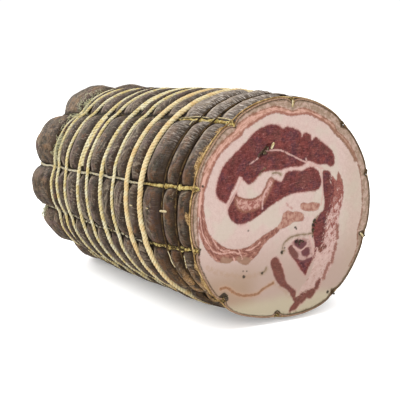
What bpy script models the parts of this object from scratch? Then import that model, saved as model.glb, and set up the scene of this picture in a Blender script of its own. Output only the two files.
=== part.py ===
"""Half of a rolled pancetta, cut flat at one end, tied in a net and wound with butcher's twine.

The roll lies along X with its cut face at +X and its gathered end at -X. It rests on z = 0.
Places on the roll are given by u, the distance from the cut face along the roll, and by an
angle about the roll's axis, counted from +Y through +Z.
"""
import math

import bmesh
import bpy
import numpy as np

# The roll, in metres
FACE_RADIUS = 0.0625
ROLL_LENGTH = 0.235
SHOULDER_U = 0.189          # where the rounded end starts
BELLY_U = 0.056             # where the roll is widest
BELLY_SWELL = 0.058         # how much wider it is there than at the cut, as a share
SHOULDER_SWELL = -0.005
END_POWER = 4               # how blunt the rounded end is
CUT_AXIS_HEIGHT = 0.0655    # middle of the cut face over the table
AXIS_SAG = 0.0019           # how much lower the axis runs behind the cut
END_KNOT_RADIUS = 0.0058
END_KNOT_RISE = 0.0052
END_KNOT_SIDES = 16
FACE_X = (ROLL_LENGTH + END_KNOT_RISE) / 2

# Where the roll is wider than a round barrel: the angle of the widest place in degrees, how soon
# that falls off beside it, and how much wider it is at the cut and behind the cut
SPREADS = [(235, 50, 0.0021, -0.0026), (257, 40, -0.0013, -0.0024), (303, 24, 0.0024, 0.0008),
           (345, 6, 0.0012, 0.0006)]
SPREAD_BEHIND_U = 0.022
SPREAD_END_U = (0.070, 0.150)

# The net's long strings: angle at the cut face, and turn along the roll, in degrees
STRINGS = [(15.5, 7), (48.7, 8), (86.3, 5), (125.7, 5.5), (164.6, 7),
           (196.0, 6), (228.0, 6), (265.2, 3), (304.3, 5), (340.8, 7)]
STRING_RADIUS = 0.00075
STRING_LIFT = 0.00055       # clear space under a string
STRING_LIFT_END = 0.0011    # the same on the rounded end, where the notches close up
STRING_END_RADIUS = 0.0072  # where the strings stop, short of the end knot
SHOULDER_DEG = 3.2          # half the width of the notch that a string pulls in
NOTCH_DEPTH_CUT = 0.0026
NOTCH_DEPTH_MID = 0.0038
NOTCH_DEPTH_FAR = 0.0062
NOTCH_MID_U = 0.050
NOTCH_FAR_U = (0.140, 0.200)

# The lobes between the strings: nearly round at the cut, and bulging at the far end
LOBE_POWER_CUT = 8.0
LOBE_POWER_FAR = 3.1
LOBE_FAR_U = (0.120, 0.200)
LOBE_RISE = [0.0, 0.0006, 0.0007, 0.0010, 0.0001, 0.0009, 0.0009, 0.0004, -0.0002, -0.0002]
END_BULGE_U = (0.180, 0.204)
END_BULGE = [0.0018, 0.0022, 0.0026, 0.0020, 0.0017, 0.0013, 0.0012, 0.0014, 0.0016, 0.0018]

# The rings: name, u, thickness, groove depth, lean towards the far end at the top, waver, pull
# towards the cut at the lower front
RINGS = [
    ("rim_thread", 0.0018, 0.0008, 0.0006, 0.0000, 0.0000, 0.0000),
    ("net_thread_1", 0.0153, 0.0010, 0.0015, 0.0005, 0.0002, 0.0015),
    ("net_thread_2", 0.0290, 0.0010, 0.0017, 0.0012, 0.0003, 0.0035),
    ("twine_ring_1", 0.0517, 0.0032, 0.0029, 0.0010, 0.0005, 0.0074),
    ("twine_ring_2", 0.0690, 0.0028, 0.0027, 0.0005, 0.0005, 0.0064),
    ("twine_ring_3", 0.0871, 0.0020, 0.0021, 0.0004, 0.0004, 0.0060),
    ("twine_ring_4", 0.1032, 0.0025, 0.0024, -0.0006, 0.0005, 0.0058),
    ("twine_ring_5", 0.1242, 0.0020, 0.0020, 0.0000, 0.0004, 0.0038),
    ("twine_ring_6", 0.1380, 0.0023, 0.0023, -0.0022, 0.0006, 0.0022),
    ("twine_ring_7", 0.1585, 0.0019, 0.0019, -0.0006, 0.0004, 0.0028),
    ("twine_ring_8", 0.1722, 0.0019, 0.0019, 0.0008, 0.0005, 0.0034),
    ("twine_ring_9", 0.1813, 0.0019, 0.0019, -0.0016, 0.0004, 0.0022),
]
PULL_DEG = 220              # where the pull is greatest
PULL_POWER = 16             # how soon it fades beside that
WAVER_TURN = 2.1            # radians by which each ring's waver is turned from the last one's
WAVER_END_U = 0.204         # where the rounded end is free of it
CLEAR = 0.0003              # gap between pieces that lie on one another
GROOVE_MARGIN = 0.0005      # groove floor beyond the twine on each side
RING_FLATNESS = 0.92        # a ring's width as a share of its height
RING_SLOPE = 0.0006         # how far a ring comes down beside a string that it climbs over
LAST_RIB_SHARE = 0.35       # where the rib behind the last ring has its row

# Second strands that part from a ring between two strings: ring, first string, last string, spread
STRANDS = {"twine_ring_4": (0, 3, 0.0022), "twine_ring_6": (3, 4, 0.0024)}

# How high the strings stay above the table on the pressed underside
STRING_FLOOR_CUT = 0.0022
STRING_FLOOR_FAR = 0.0045
STRING_FLOOR_U = (0.029, 0.041)
NOTCH_OVER_STRING = 0.0019
TABLE_CLEAR = 0.0001

# Rows on each rib and on the rounded end, as shares of its length
RIB_ROWS = [(0.30, 0.5), (0.70, 0.8)]
END_ROWS = [0.22, 0.42, 0.60, 0.74, 0.85, 0.92, 0.965, 0.99]
STEPS_PER_LOBE = 5
STRING_STEPS_CUT = 9
STRING_STEPS = 13
STRING_CUT_U = 0.036        # the strings have more steps before this
TWINE_SIDES = 4
SHARP_DEG_ROLL = 50
SHARP_DEG_TWINE = 60

CASING_BROWN = (0.115, 0.082, 0.068, 1.0)
CUT_PINK = (0.62, 0.36, 0.33, 1.0)
TWINE_STRAW = (0.69, 0.55, 0.27, 1.0)
NET_CREAM = (0.66, 0.60, 0.42, 1.0)


def smooth(low, high, value):
    """Runs from 0 at low to 1 at high with flat ends."""
    t = np.clip((value - low) / (high - low), 0, 1)
    return t * t * (3 - 2 * t)


def profile(u):
    """Radius of the roll without its lobes and ribs: a slight barrel, then a rounded end."""
    rise = np.sin(math.pi / 2 * np.clip(u / BELLY_U, 0, 1))
    past = np.clip((u - BELLY_U) / (SHOULDER_U - BELLY_U), 0, 1)
    fall = (1 + np.cos(math.pi * past)) / 2
    swell = np.where(u < BELLY_U, BELLY_SWELL * rise,
                     SHOULDER_SWELL + (BELLY_SWELL - SHOULDER_SWELL) * fall)
    barrel = FACE_RADIUS * (1 + swell)
    end = np.clip((u - SHOULDER_U) / (ROLL_LENGTH - SHOULDER_U), 0, 1)
    return barrel * np.sqrt(1 - end ** END_POWER)


def axis_height(u):
    """Height of the roll's axis over the table: it sags behind the cut."""
    return CUT_AXIS_HEIGHT - AXIS_SAG * smooth(0, BELLY_U, u)


def profile_normal(u):
    """Outward direction of the profile, as its share along u and its share away from the axis."""
    step = 1e-5
    ahead = np.minimum(u + step, ROLL_LENGTH - 1e-9)
    behind = np.maximum(u - step, 0)
    rise = profile(ahead) - profile(behind)
    run = ahead - behind
    size = np.hypot(rise, run)
    return -rise / size, run / size


def waver(u, angle):
    """Shift towards the far end: the same over a ring's groove, and blended between grooves."""
    middles = np.array([ring[1] for ring in RINGS])
    halves = np.array([ring[2] / 2 + GROOVE_MARGIN for ring in RINGS])
    edges = np.stack([middles - halves, middles + halves], axis=1).ravel()
    places = np.concatenate([[0.0], edges, [WAVER_END_U]])
    turn = np.arange(len(RINGS)) * WAVER_TURN
    waves = np.array([ring[5] for ring in RINGS])

    def blended(values):
        return np.interp(u, places, np.concatenate([[0.0], np.repeat(values, 2), [0.0]]))

    lean = blended([ring[4] for ring in RINGS])
    wave_sin = blended(waves * np.sin(turn))
    wave_cos = blended(waves * np.cos(turn))
    pull = blended([ring[6] for ring in RINGS])
    pulled = ((1 + np.cos(angle - math.radians(PULL_DEG))) / 2) ** PULL_POWER
    return (lean * np.sin(angle) + wave_sin * np.sin(3 * angle) + wave_cos * np.cos(2 * angle)
            - pull * pulled)


def string_angle(index, u):
    """Angle of one long string, in radians; past the last string the count goes round again."""
    start, turn = STRINGS[index % len(STRINGS)]
    lap = 360 * (index // len(STRINGS))
    return np.radians(start + lap + turn * u / ROLL_LENGTH)


def notch_depth(u):
    """How far a string pulls the casing in: more towards the far end, and less at its middle."""
    depth = (NOTCH_DEPTH_CUT + (NOTCH_DEPTH_MID - NOTCH_DEPTH_CUT) * smooth(0.0, NOTCH_MID_U, u)
             + (NOTCH_DEPTH_FAR - NOTCH_DEPTH_MID) * smooth(*NOTCH_FAR_U, u))
    return depth * (profile(u) / profile(0)) ** 1.5


def string_height(u):
    """Height of a string's middle over the profile: just clear of the bottom of its notch."""
    lift = STRING_LIFT + (STRING_LIFT_END - STRING_LIFT) * smooth(SHOULDER_U, ROLL_LENGTH, u)
    return -notch_depth(u) + lift + STRING_RADIUS


def spread_out(u, angle):
    """How much further out the roll reaches than its barrel, by place: wider at the cut, and
    wider or narrower behind it. Each spread falls off with (1 + cos) / 2 to a power."""
    behind = 1 - (1 - np.clip(u / SPREAD_BEHIND_U, 0, 1)) ** 2
    kept = 1 - smooth(*SPREAD_END_U, u)
    total = 0.0
    for middle, power, at_cut, after in SPREADS:
        beside = ((1 + np.cos(angle - math.radians(middle))) / 2) ** power
        total = total + beside * (at_cut * (1 - behind) + after * behind * kept)
    return total


def place(u, angle, height):
    """Point at a height over the profile, as x, y, z."""
    along, outward = profile_normal(u)
    distance = u + waver(u, angle) + height * along
    radius = profile(u) + spread_out(u, angle) + height * outward
    return np.stack([FACE_X - distance + 0 * angle,
                     radius * np.cos(angle),
                     axis_height(u) + radius * np.sin(angle)], axis=-1)


def string_floor(u):
    """Lowest z of a string's middle, which leaves room for the rings under it."""
    return STRING_FLOOR_CUT + (STRING_FLOOR_FAR - STRING_FLOOR_CUT) * smooth(*STRING_FLOOR_U, u)


def stations(u):
    """Angles of the points round the roll, with the lobe and the share of the lobe of each."""
    angles, lobes, shares = [], [], []
    for lobe in range(len(STRINGS)):
        start = string_angle(lobe, u)
        end = string_angle(lobe + 1, u)
        shoulder = math.radians(SHOULDER_DEG)
        inner = np.linspace(start + shoulder, end - shoulder, STEPS_PER_LOBE - 1)
        here = np.concatenate([[start], inner])
        angles.append(here)
        lobes.append(np.full(STEPS_PER_LOBE, lobe))
        shares.append((here - start) / (end - start))
    return np.concatenate(angles), np.concatenate(lobes), np.concatenate(shares)


def lobe_height(u, lobes, shares):
    """Height of the casing over the profile, round one lobe: rounder towards the far end."""
    power = LOBE_POWER_CUT + (LOBE_POWER_FAR - LOBE_POWER_CUT) * smooth(*LOBE_FAR_U, u)
    pull = np.abs(2 * shares - 1) ** power
    bulge = np.array(END_BULGE)[lobes] * smooth(*END_BULGE_U, u)
    rise = (np.array(LOBE_RISE)[lobes] + bulge) * (profile(u) / profile(0))
    return rise * (1 - pull) - notch_depth(u) * pull


def strand_spread(name, lobes, shares, extra):
    """Room beside a ring for its second strand, at the points that the strand passes."""
    spread = np.zeros(len(lobes))
    if name in STRANDS:
        first, last, gap = STRANDS[name]
        inside = (lobes >= first) & (lobes < last) & ((lobes > first) | (shares > 0))
        turn = (lobes + shares - first) / (last - first)
        spread = np.where(inside, extra + gap * np.sin(math.pi * turn), 0.0)
    return spread


def casing_row(u, depth, floor, shift=0.0):
    """One row of casing points round the roll, set in by depth where a groove runs."""
    angles, lobes, shares = stations(u)
    height = lobe_height(u, lobes, shares)
    on_string = shares == 0
    height = np.where(on_string, height, height - depth)
    points = place(u + shift, angles, height)
    lowest = np.where(on_string, string_floor(u) + NOTCH_OVER_STRING, floor)
    points[:, 2] = np.maximum(points[:, 2], lowest)
    return points


def casing_rows():
    """All rows from the cut face to the rounded end: two in each groove and two on each rib."""
    rows = [casing_row(0.0, 0.0, 0.0)]
    edge = 0.0
    for name, u, thickness, depth, _lean, _wave, _pull in RINGS:
        half = thickness / 2 + GROOVE_MARGIN
        _angles, lobes, shares = stations(u)
        beside = strand_spread(name, lobes, shares, thickness + CLEAR)
        near, far = u - half, u + half
        gap = near - edge
        if edge > 0:
            for share, follow in RIB_ROWS:
                rows.append(casing_row(edge + share * gap, 0.0, 0.0, -follow * beside))
        floor = thickness + CLEAR + 2 * TABLE_CLEAR
        rows.append(casing_row(near, depth, floor, -beside))
        rows.append(casing_row(far, depth, floor))
        edge = far
    first_end_row = SHOULDER_U + END_ROWS[0] * (ROLL_LENGTH - SHOULDER_U)
    rows.append(casing_row(edge + LAST_RIB_SHARE * (first_end_row - edge), 0.0, 0.0))
    for share in END_ROWS:
        rows.append(casing_row(SHOULDER_U + share * (ROLL_LENGTH - SHOULDER_U), 0.0, 0.0))
    return rows


def material(name, colour, roughness):
    """A plain Principled material."""
    made = bpy.data.materials.new(name)
    made.use_nodes = True
    shader = made.node_tree.nodes["Principled BSDF"]
    shader.inputs["Base Color"].default_value = colour
    shader.inputs["Roughness"].default_value = roughness
    shader.inputs["Metallic"].default_value = 0.0
    return made


def finish_object(name, mesh_builder, materials, sharp_deg):
    """Turns a bmesh into a named object with outward faces and smooth shading."""
    bmesh.ops.recalc_face_normals(mesh_builder, faces=mesh_builder.faces)
    mesh = bpy.data.meshes.new(name)
    mesh_builder.to_mesh(mesh)
    mesh_builder.free()
    for made in materials:
        mesh.materials.append(made)
    mesh.shade_smooth()
    mesh.set_sharp_from_angle(angle=math.radians(sharp_deg))
    made_object = bpy.data.objects.new(name, mesh)
    bpy.context.scene.collection.objects.link(made_object)
    return made_object


def skin_rows(mesh_builder, rows, closed):
    """Joins neighbouring rows of points with quads; closed joins the last row to the first."""
    loops = [[mesh_builder.verts.new(point) for point in row] for row in rows]
    pairs = list(zip(loops, loops[1:]))
    if closed:
        pairs.append((loops[-1], loops[0]))
    for here, ahead in pairs:
        for i in range(len(here)):
            j = (i + 1) % len(here)
            mesh_builder.faces.new((here[i], here[j], ahead[j], ahead[i]))
    return loops


def fan(mesh_builder, loop, point):
    """Closes a loop with a fan of triangles to one point, and returns the triangles."""
    middle = mesh_builder.verts.new(point)
    return [mesh_builder.faces.new((loop[i], loop[(i + 1) % len(loop)], middle))
            for i in range(len(loop))]


def make_roll(casing, cut):
    """The meat with its casing: one solid, pulled into lobes by the net and ribs by the rings."""
    builder = bmesh.new()
    loops = skin_rows(builder, casing_rows(), closed=False)
    cut_faces = fan(builder, loops[0], (FACE_X, 0.0, CUT_AXIS_HEIGHT))
    for face in cut_faces:
        face.material_index = 1
    fan(builder, loops[-1], (FACE_X - ROLL_LENGTH, 0.0, axis_height(ROLL_LENGTH)))
    return finish_object("pancetta_roll", builder, [casing, cut], SHARP_DEG_ROLL)


def sweep(centres, outward, half_height, half_width, closed):
    """Rows of points of a twine's section, carried along a path of centres."""
    ahead = np.roll(centres, -1, axis=0) - np.roll(centres, 1, axis=0)
    if not closed:
        ahead[0] = centres[1] - centres[0]
        ahead[-1] = centres[-1] - centres[-2]
    ahead /= np.linalg.norm(ahead, axis=1, keepdims=True)
    outward = outward - (outward * ahead).sum(axis=1, keepdims=True) * ahead
    outward /= np.linalg.norm(outward, axis=1, keepdims=True)
    side = np.cross(ahead, outward)
    corner = math.sqrt(2)
    rows = []
    for k in range(TWINE_SIDES):
        turn = 2 * math.pi * (k + 0.5) / TWINE_SIDES
        rows.append(centres + outward * (half_height * corner * math.cos(turn))
                    + side * (half_width * corner * math.sin(turn)))
    return np.stack(rows, axis=1)


def make_twine(name, centres, outward, half_height, half_width, closed, look):
    """One twine as a square-sectioned tube along its path."""
    builder = bmesh.new()
    rows = sweep(centres, outward, half_height, half_width, closed)
    loops = skin_rows(builder, rows, closed)
    if not closed:
        builder.faces.new(loops[0])
        builder.faces.new(loops[-1])
    return finish_object(name, builder, [look], SHARP_DEG_TWINE)


def ring_path(u, thickness, depth, spread=0.0):
    """Middle line of a ring: it lies in its groove and climbs over each long string."""
    angles, lobes, shares = stations(u)
    on_string = shares == 0
    half = thickness / 2
    in_groove = lobe_height(u, lobes, shares) - depth + CLEAR + half
    string_top = string_height(u) + STRING_RADIUS
    over_string = string_top + CLEAR + half
    beside_string = (np.arange(len(shares)) % STEPS_PER_LOBE == 1) | (np.roll(on_string, -1))
    bridging = np.maximum(in_groove, over_string - RING_SLOPE)
    height = np.where(on_string, over_string, np.where(beside_string, bridging, in_groove))
    centres = place(u - spread, angles, height)
    centres[:, 2] = np.maximum(centres[:, 2], half + TABLE_CLEAR)
    outward = np.stack([0 * angles, np.cos(angles), np.sin(angles)], axis=-1)
    return centres, outward


def make_rings(straw, cream):
    """The rings of twine and net thread that go all the way round."""
    for name, u, thickness, depth, _lean, _wave, _pull in RINGS:
        centres, outward = ring_path(u, thickness, depth)
        look = cream if "thread" in name else straw
        half = thickness / 2
        make_twine(name, centres, outward, half, RING_FLATNESS * half, True, look)


def make_strands(straw):
    """The second strands, which part from their ring at one string and come back at another."""
    for name, u, thickness, depth, _lean, _wave, _pull in RINGS:
        if name in STRANDS:
            _angles, lobes, shares = stations(u)
            spread = strand_spread(name, lobes, shares, thickness + CLEAR)
            centres, outward = ring_path(u, thickness, depth, spread)
            kept = np.flatnonzero(spread > 0)
            half = thickness / 2
            make_twine(name + "_second_strand", centres[kept], outward[kept],
                       half, RING_FLATNESS * half, False, straw)


def string_stations():
    """Places along a long string: closer near the cut and round the rounded end."""
    near_cut = np.linspace(0.0, STRING_CUT_U, STRING_STEPS_CUT)[:-1]
    straight = np.linspace(STRING_CUT_U, SHOULDER_U, STRING_STEPS)
    end_shares = np.array(END_ROWS[:-1])
    rounded = SHOULDER_U + end_shares * (ROLL_LENGTH - SHOULDER_U)
    last_share = (1 - (STRING_END_RADIUS / profile(SHOULDER_U)) ** 2) ** (1 / END_POWER)
    last = SHOULDER_U + last_share * (ROLL_LENGTH - SHOULDER_U)
    return np.concatenate([near_cut, straight, rounded, [last]])


def make_strings(cream):
    """The net's long strings, each at the bottom of its notch, under the rings."""
    u = string_stations()
    for index in range(len(STRINGS)):
        angle = string_angle(index, u)
        centres = place(u, angle, string_height(u))
        centres[:, 2] = np.maximum(centres[:, 2], string_floor(u))
        along, away = profile_normal(u)
        outward = np.stack([-along, away * np.cos(angle), away * np.sin(angle)], axis=-1)
        half = STRING_RADIUS / math.sqrt(2)
        make_twine("net_string_%d" % (index + 1), centres, outward, half, half, False, cream)


def make_end_knot(straw):
    """The knot that gathers the net's strings at the middle of the rounded end."""
    builder = bmesh.new()
    back = FACE_X - ROLL_LENGTH - CLEAR
    height = axis_height(ROLL_LENGTH)
    outline = [(0.91, 0.00), (1.00, 0.30), (0.89, 0.62), (0.56, 0.90)]
    around = np.linspace(0, 2 * math.pi, END_KNOT_SIDES, endpoint=False)
    rows = []
    for wide, out in outline:
        radius = END_KNOT_RADIUS * wide
        x = back - out * (END_KNOT_RISE - CLEAR)
        rows.append(np.stack([x + 0 * around, radius * np.cos(around),
                              height + radius * np.sin(around)], axis=-1))
    loops = skin_rows(builder, rows, closed=False)
    builder.faces.new(loops[0])
    fan(builder, loops[-1], (FACE_X - ROLL_LENGTH - END_KNOT_RISE, 0.0, height))
    return finish_object("end_knot", builder, [straw], SHARP_DEG_TWINE)


def clear_scene():
    """Removes whatever the scene holds."""
    for old in list(bpy.data.objects):
        bpy.data.objects.remove(old, do_unlink=True)


clear_scene()
casing_look = material("casing", CASING_BROWN, 0.55)
cut_look = material("cut_meat", CUT_PINK, 0.45)
straw_look = material("twine", TWINE_STRAW, 0.85)
cream_look = material("net", NET_CREAM, 0.85)
make_roll(casing_look, cut_look)
make_rings(straw_look, cream_look)
make_strands(straw_look)
make_strings(cream_look)
make_end_knot(straw_look)
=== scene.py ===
"""Dresses a packed rolled pancetta half: meat, casing, net and butcher's twine, in metres."""

import math

import bpy
import numpy as np
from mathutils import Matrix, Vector


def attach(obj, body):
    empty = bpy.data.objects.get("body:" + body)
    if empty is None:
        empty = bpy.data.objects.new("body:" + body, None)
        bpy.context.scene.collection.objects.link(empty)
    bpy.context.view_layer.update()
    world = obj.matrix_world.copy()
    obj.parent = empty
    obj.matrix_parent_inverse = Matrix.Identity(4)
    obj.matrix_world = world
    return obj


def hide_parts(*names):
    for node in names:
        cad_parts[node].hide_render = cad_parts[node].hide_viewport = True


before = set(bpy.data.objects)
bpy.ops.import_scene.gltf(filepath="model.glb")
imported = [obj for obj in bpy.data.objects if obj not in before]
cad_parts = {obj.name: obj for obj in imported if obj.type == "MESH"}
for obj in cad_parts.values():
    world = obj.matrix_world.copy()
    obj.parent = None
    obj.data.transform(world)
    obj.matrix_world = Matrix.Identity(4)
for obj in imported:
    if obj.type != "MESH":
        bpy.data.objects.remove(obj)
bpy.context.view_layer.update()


# The view. A long lens looks at the cut face from the front right, a little from above, with the
# roll running away to the left. Places on the face are given as points of this 400-pixel picture.
VIEW_AZIMUTH = math.radians(57.364)
VIEW_ELEVATION = math.radians(9.49)
VIEW_DISTANCE = 0.6383
VIEW_TARGET = np.array([0.03054, 0.0, 0.05844])
LENS_MM = 90.0
SENSOR_MM = 36.0
PICTURE_PIXELS = 400

view_back = np.array([math.sin(VIEW_AZIMUTH) * math.cos(VIEW_ELEVATION),
                      -math.cos(VIEW_AZIMUTH) * math.cos(VIEW_ELEVATION),
                      math.sin(VIEW_ELEVATION)])
view_right = np.array([math.cos(VIEW_AZIMUTH), math.sin(VIEW_AZIMUTH), 0.0])
view_up = np.cross(view_back, view_right)
view_eye = VIEW_TARGET + view_back * VIEW_DISTANCE

camera = bpy.data.objects.new("camera", bpy.data.cameras.new("camera"))
bpy.context.scene.collection.objects.link(camera)
camera.data.lens = LENS_MM
camera.data.sensor_width = SENSOR_MM
camera.location = view_eye
camera.rotation_euler = Vector(-view_back).to_track_quat("-Z", "Y").to_euler()
bpy.context.scene.camera = camera


# The form of the roll. Meat and fat are rolled up, slipped in a casing and laced in a net, whose
# long strings part it into ten lobes, and rings of twine press ribs into it. A place on it is given
# by u, the distance from the cut along the roll, and w, the count of long strings passed.
FACE_RADIUS = 0.0625
ROLL_LENGTH = 0.235
SHOULDER_U = 0.189
BELLY_U = 0.056
BELLY_SWELL = 0.058
SHOULDER_SWELL = -0.005
END_POWER = 4
CUT_AXIS_HEIGHT = 0.0655
AXIS_SAG = 0.0019
END_KNOT_RISE = 0.0052
FACE_X = (ROLL_LENGTH + END_KNOT_RISE) / 2

# Where the roll is wider than a round barrel: the angle of the widest place in degrees, how soon
# that falls off beside it, and how much wider it is at the cut and behind the cut
SPREADS = [(235, 50, 0.0021, -0.0026), (257, 40, -0.0013, -0.0024), (303, 24, 0.0024, 0.0008),
           (345, 6, 0.0012, 0.0006)]
SPREAD_BEHIND_U = 0.022
SPREAD_END_U = (0.070, 0.150)

# The long strings: angle at the cut and turn along the roll, in degrees
STRINGS = [(15.5, 7), (48.7, 8), (86.3, 5), (125.7, 5.5), (164.6, 7),
           (196.0, 6), (228.0, 6), (265.2, 3), (304.3, 5), (340.8, 7)]
STRING_RADIUS = 0.00075
STRING_LIFT = 0.00055
STRING_LIFT_END = 0.0011
# Depth of the notches at the cut, in the middle and at the far end, and where it changes
NOTCH_DEPTHS = (0.0026, 0.0038, 0.0062)
NOTCH_MIDDLE_U = 0.05
NOTCH_FAR_U = (0.14, 0.20)
# How flat the lobes are across: the power at the cut and at the far end, and where it changes
LOBE_POWERS = (8.0, 3.1)
LOBE_POWER_U = (0.12, 0.20)
# How much each lobe stands out, all along, and more at the far end, and where that comes in
LOBE_RISE = [0.0, 0.0006, 0.0007, 0.0010, 0.0001, 0.0009, 0.0009, 0.0004, -0.0002, -0.0002]
END_BULGE = [0.0018, 0.0022, 0.0026, 0.0020, 0.0017, 0.0013, 0.0012, 0.0014, 0.0016, 0.0018]
END_BULGE_U = (0.180, 0.204)

# The rings: name, u, thickness, groove depth, lean towards the far end at the top, waver, pull
# towards the cut at the lower front
RINGS = [
    ("rim_thread", 0.0018, 0.0008, 0.0006, 0.0000, 0.0000, 0.0000),
    ("net_thread_1", 0.0153, 0.0010, 0.0015, 0.0005, 0.0002, 0.0015),
    ("net_thread_2", 0.0290, 0.0010, 0.0017, 0.0012, 0.0003, 0.0035),
    ("twine_ring_1", 0.0517, 0.0032, 0.0029, 0.0010, 0.0005, 0.0074),
    ("twine_ring_2", 0.0690, 0.0028, 0.0027, 0.0005, 0.0005, 0.0064),
    ("twine_ring_3", 0.0871, 0.0020, 0.0021, 0.0004, 0.0004, 0.0060),
    ("twine_ring_4", 0.1032, 0.0025, 0.0024, -0.0006, 0.0005, 0.0058),
    ("twine_ring_5", 0.1242, 0.0020, 0.0020, 0.0000, 0.0004, 0.0038),
    ("twine_ring_6", 0.1380, 0.0023, 0.0023, -0.0022, 0.0006, 0.0022),
    ("twine_ring_7", 0.1585, 0.0019, 0.0019, -0.0006, 0.0004, 0.0028),
    ("twine_ring_8", 0.1722, 0.0019, 0.0019, 0.0008, 0.0005, 0.0034),
    ("twine_ring_9", 0.1813, 0.0019, 0.0019, -0.0016, 0.0004, 0.0022),
]
# Second strands of a ring: first string, last string, how far it bows out
STRANDS = {"twine_ring_4": (0, 3, 0.0022), "twine_ring_6": (3, 4, 0.0024)}
# Air between pieces that lie on each other, and room beside a ring in its groove
CLEAR = 0.0003
GROOVE_MARGIN = 0.0005
# Lowest height of a string's middle near the cut and behind it, and where it changes
STRING_FLOORS = (0.0022, 0.0045)
STRING_FLOOR_U = (0.029, 0.041)
# The pull at the lower front: its middle in degrees and how soon it falls off. The waver turns on
# by a step from ring to ring, and ends behind the last.
PULL_DEG = 220
PULL_POWER = 16
WAVER_TURN = 2.1
WAVER_END_U = 0.204
# Share of a lobe beside each string in which the grooves come in
SHOULDER_SHARE = 0.095
# Step to each side over which a slope is taken, and how close to the tip it may come
SLOPE_STEP = 1e-5
TIP_MARGIN = 1e-9


def smooth(low, high, value):
    """Runs from 0 at low to 1 at high with flat ends: t*t*(3 - 2t)."""
    t = np.clip((value - low) / (high - low), 0, 1)
    return t * t * (3 - 2 * t)


def profile(u):
    """Radius without lobes and ribs: a barrel of a sine rise and a cosine fall, then a rounded end
    whose radius is the square root of 1 - share ** 4."""
    rise = BELLY_SWELL * np.sin(math.pi / 2 * np.clip(u / BELLY_U, 0, 1))
    past = np.clip((u - BELLY_U) / (SHOULDER_U - BELLY_U), 0, 1)
    fall = SHOULDER_SWELL + (BELLY_SWELL - SHOULDER_SWELL) * (1 + np.cos(math.pi * past)) / 2
    end = np.clip((u - SHOULDER_U) / (ROLL_LENGTH - SHOULDER_U), 0, 1)
    return FACE_RADIUS * (1 + np.where(u < BELLY_U, rise, fall)) * np.sqrt(1 - end ** END_POWER)


def profile_normal(u):
    """Outward direction of the profile, as its share along u and its share away from the axis, from
    the profile's rise between two places close by."""
    ahead = np.minimum(u + SLOPE_STEP, ROLL_LENGTH - TIP_MARGIN)
    behind = np.maximum(u - SLOPE_STEP, 0)
    rise, run = profile(ahead) - profile(behind), ahead - behind
    size = np.hypot(rise, run)
    return -rise / size, run / size


def axis_height(u):
    """Height of the axis over the table: it sags behind the cut."""
    return CUT_AXIS_HEIGHT - AXIS_SAG * smooth(0, BELLY_U, u)


def string_angle(w, u):
    """Angle of the place w strings round: the strings' own angles, straight in between."""
    starts = np.array([s[0] + 360 * lap for lap in range(3) for s in STRINGS])
    turns = np.array([s[1] for lap in range(3) for s in STRINGS])
    count = np.arange(len(starts))
    return np.radians(np.interp(w, count, starts) + np.interp(w, count, turns) * u / ROLL_LENGTH)


def waver(u, angle):
    """Shift towards the far end: each ring's lean, waver and pull, straight between their grooves.
    The pull fades round the roll with ((1 + cos(angle from its middle)) / 2) ** PULL_POWER."""
    middles = np.array([ring[1] for ring in RINGS])
    halves = np.array([ring[2] / 2 + GROOVE_MARGIN for ring in RINGS])
    edges = np.stack([middles - halves, middles + halves], axis=1).ravel()
    places = np.concatenate([[0.0], edges, [WAVER_END_U]])
    turn = np.arange(len(RINGS)) * WAVER_TURN
    waves = np.array([ring[5] for ring in RINGS])

    def blended(values):
        return np.interp(u, places, np.concatenate([[0.0], np.repeat(values, 2), [0.0]]))

    return (blended([ring[4] for ring in RINGS]) * np.sin(angle)
            + blended(waves * np.sin(turn)) * np.sin(3 * angle)
            + blended(waves * np.cos(turn)) * np.cos(2 * angle)
            - blended([ring[6] for ring in RINGS])
            * ((1 + np.cos(angle - math.radians(PULL_DEG))) / 2) ** PULL_POWER)


def spread_out(u, angle):
    """How much further out the roll reaches than its barrel, by place: wider at the cut, and
    wider or narrower behind it. Each spread falls off with ((1 + cos) / 2) ** power."""
    behind = 1 - (1 - np.clip(u / SPREAD_BEHIND_U, 0, 1)) ** 2
    kept = 1 - smooth(*SPREAD_END_U, u)
    total = 0.0
    for middle, power, at_cut, after in SPREADS:
        beside = ((1 + np.cos(angle - math.radians(middle))) / 2) ** power
        total = total + beside * (at_cut * (1 - behind) + after * behind * kept)
    return total


def place(u, angle, height):
    """Point at a height over the profile, as x, y, z."""
    along, outward = profile_normal(u)
    distance = u + waver(u, angle) + height * along
    radius = profile(u) + spread_out(u, angle) + height * outward
    return np.stack([FACE_X - distance + 0 * angle, radius * np.cos(angle),
                     axis_height(u) + radius * np.sin(angle)], axis=-1)


def notch_depth(u):
    """How far a string pulls the casing in, by its distance from the cut."""
    cut, middle, far = NOTCH_DEPTHS
    depth = (cut + (middle - cut) * smooth(0.0, NOTCH_MIDDLE_U, u)
             + (far - middle) * smooth(*NOTCH_FAR_U, u))
    return depth * (profile(u) / profile(0)) ** 1.5


def lobe_height(u, w):
    """Height over the profile across one lobe: high in the middle, and down by the notch's depth
    at the strings, with |2 * share - 1| raised to a power that falls towards the far end."""
    lobes = np.floor(w).astype(int) % len(STRINGS)
    flat, pointed = LOBE_POWERS
    power = flat + (pointed - flat) * smooth(*LOBE_POWER_U, u)
    pull = np.abs(2 * (w - np.floor(w)) - 1) ** power
    bulge = np.array(END_BULGE)[lobes] * smooth(*END_BULGE_U, u)
    rise = (np.array(LOBE_RISE)[lobes] + bulge) * (profile(u) / profile(0))
    return rise * (1 - pull) - notch_depth(u) * pull


def string_height(u):
    """Height of a long string's middle over the profile."""
    lift = STRING_LIFT + (STRING_LIFT_END - STRING_LIFT) * smooth(SHOULDER_U, ROLL_LENGTH, u)
    return lift + STRING_RADIUS - notch_depth(u)


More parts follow.
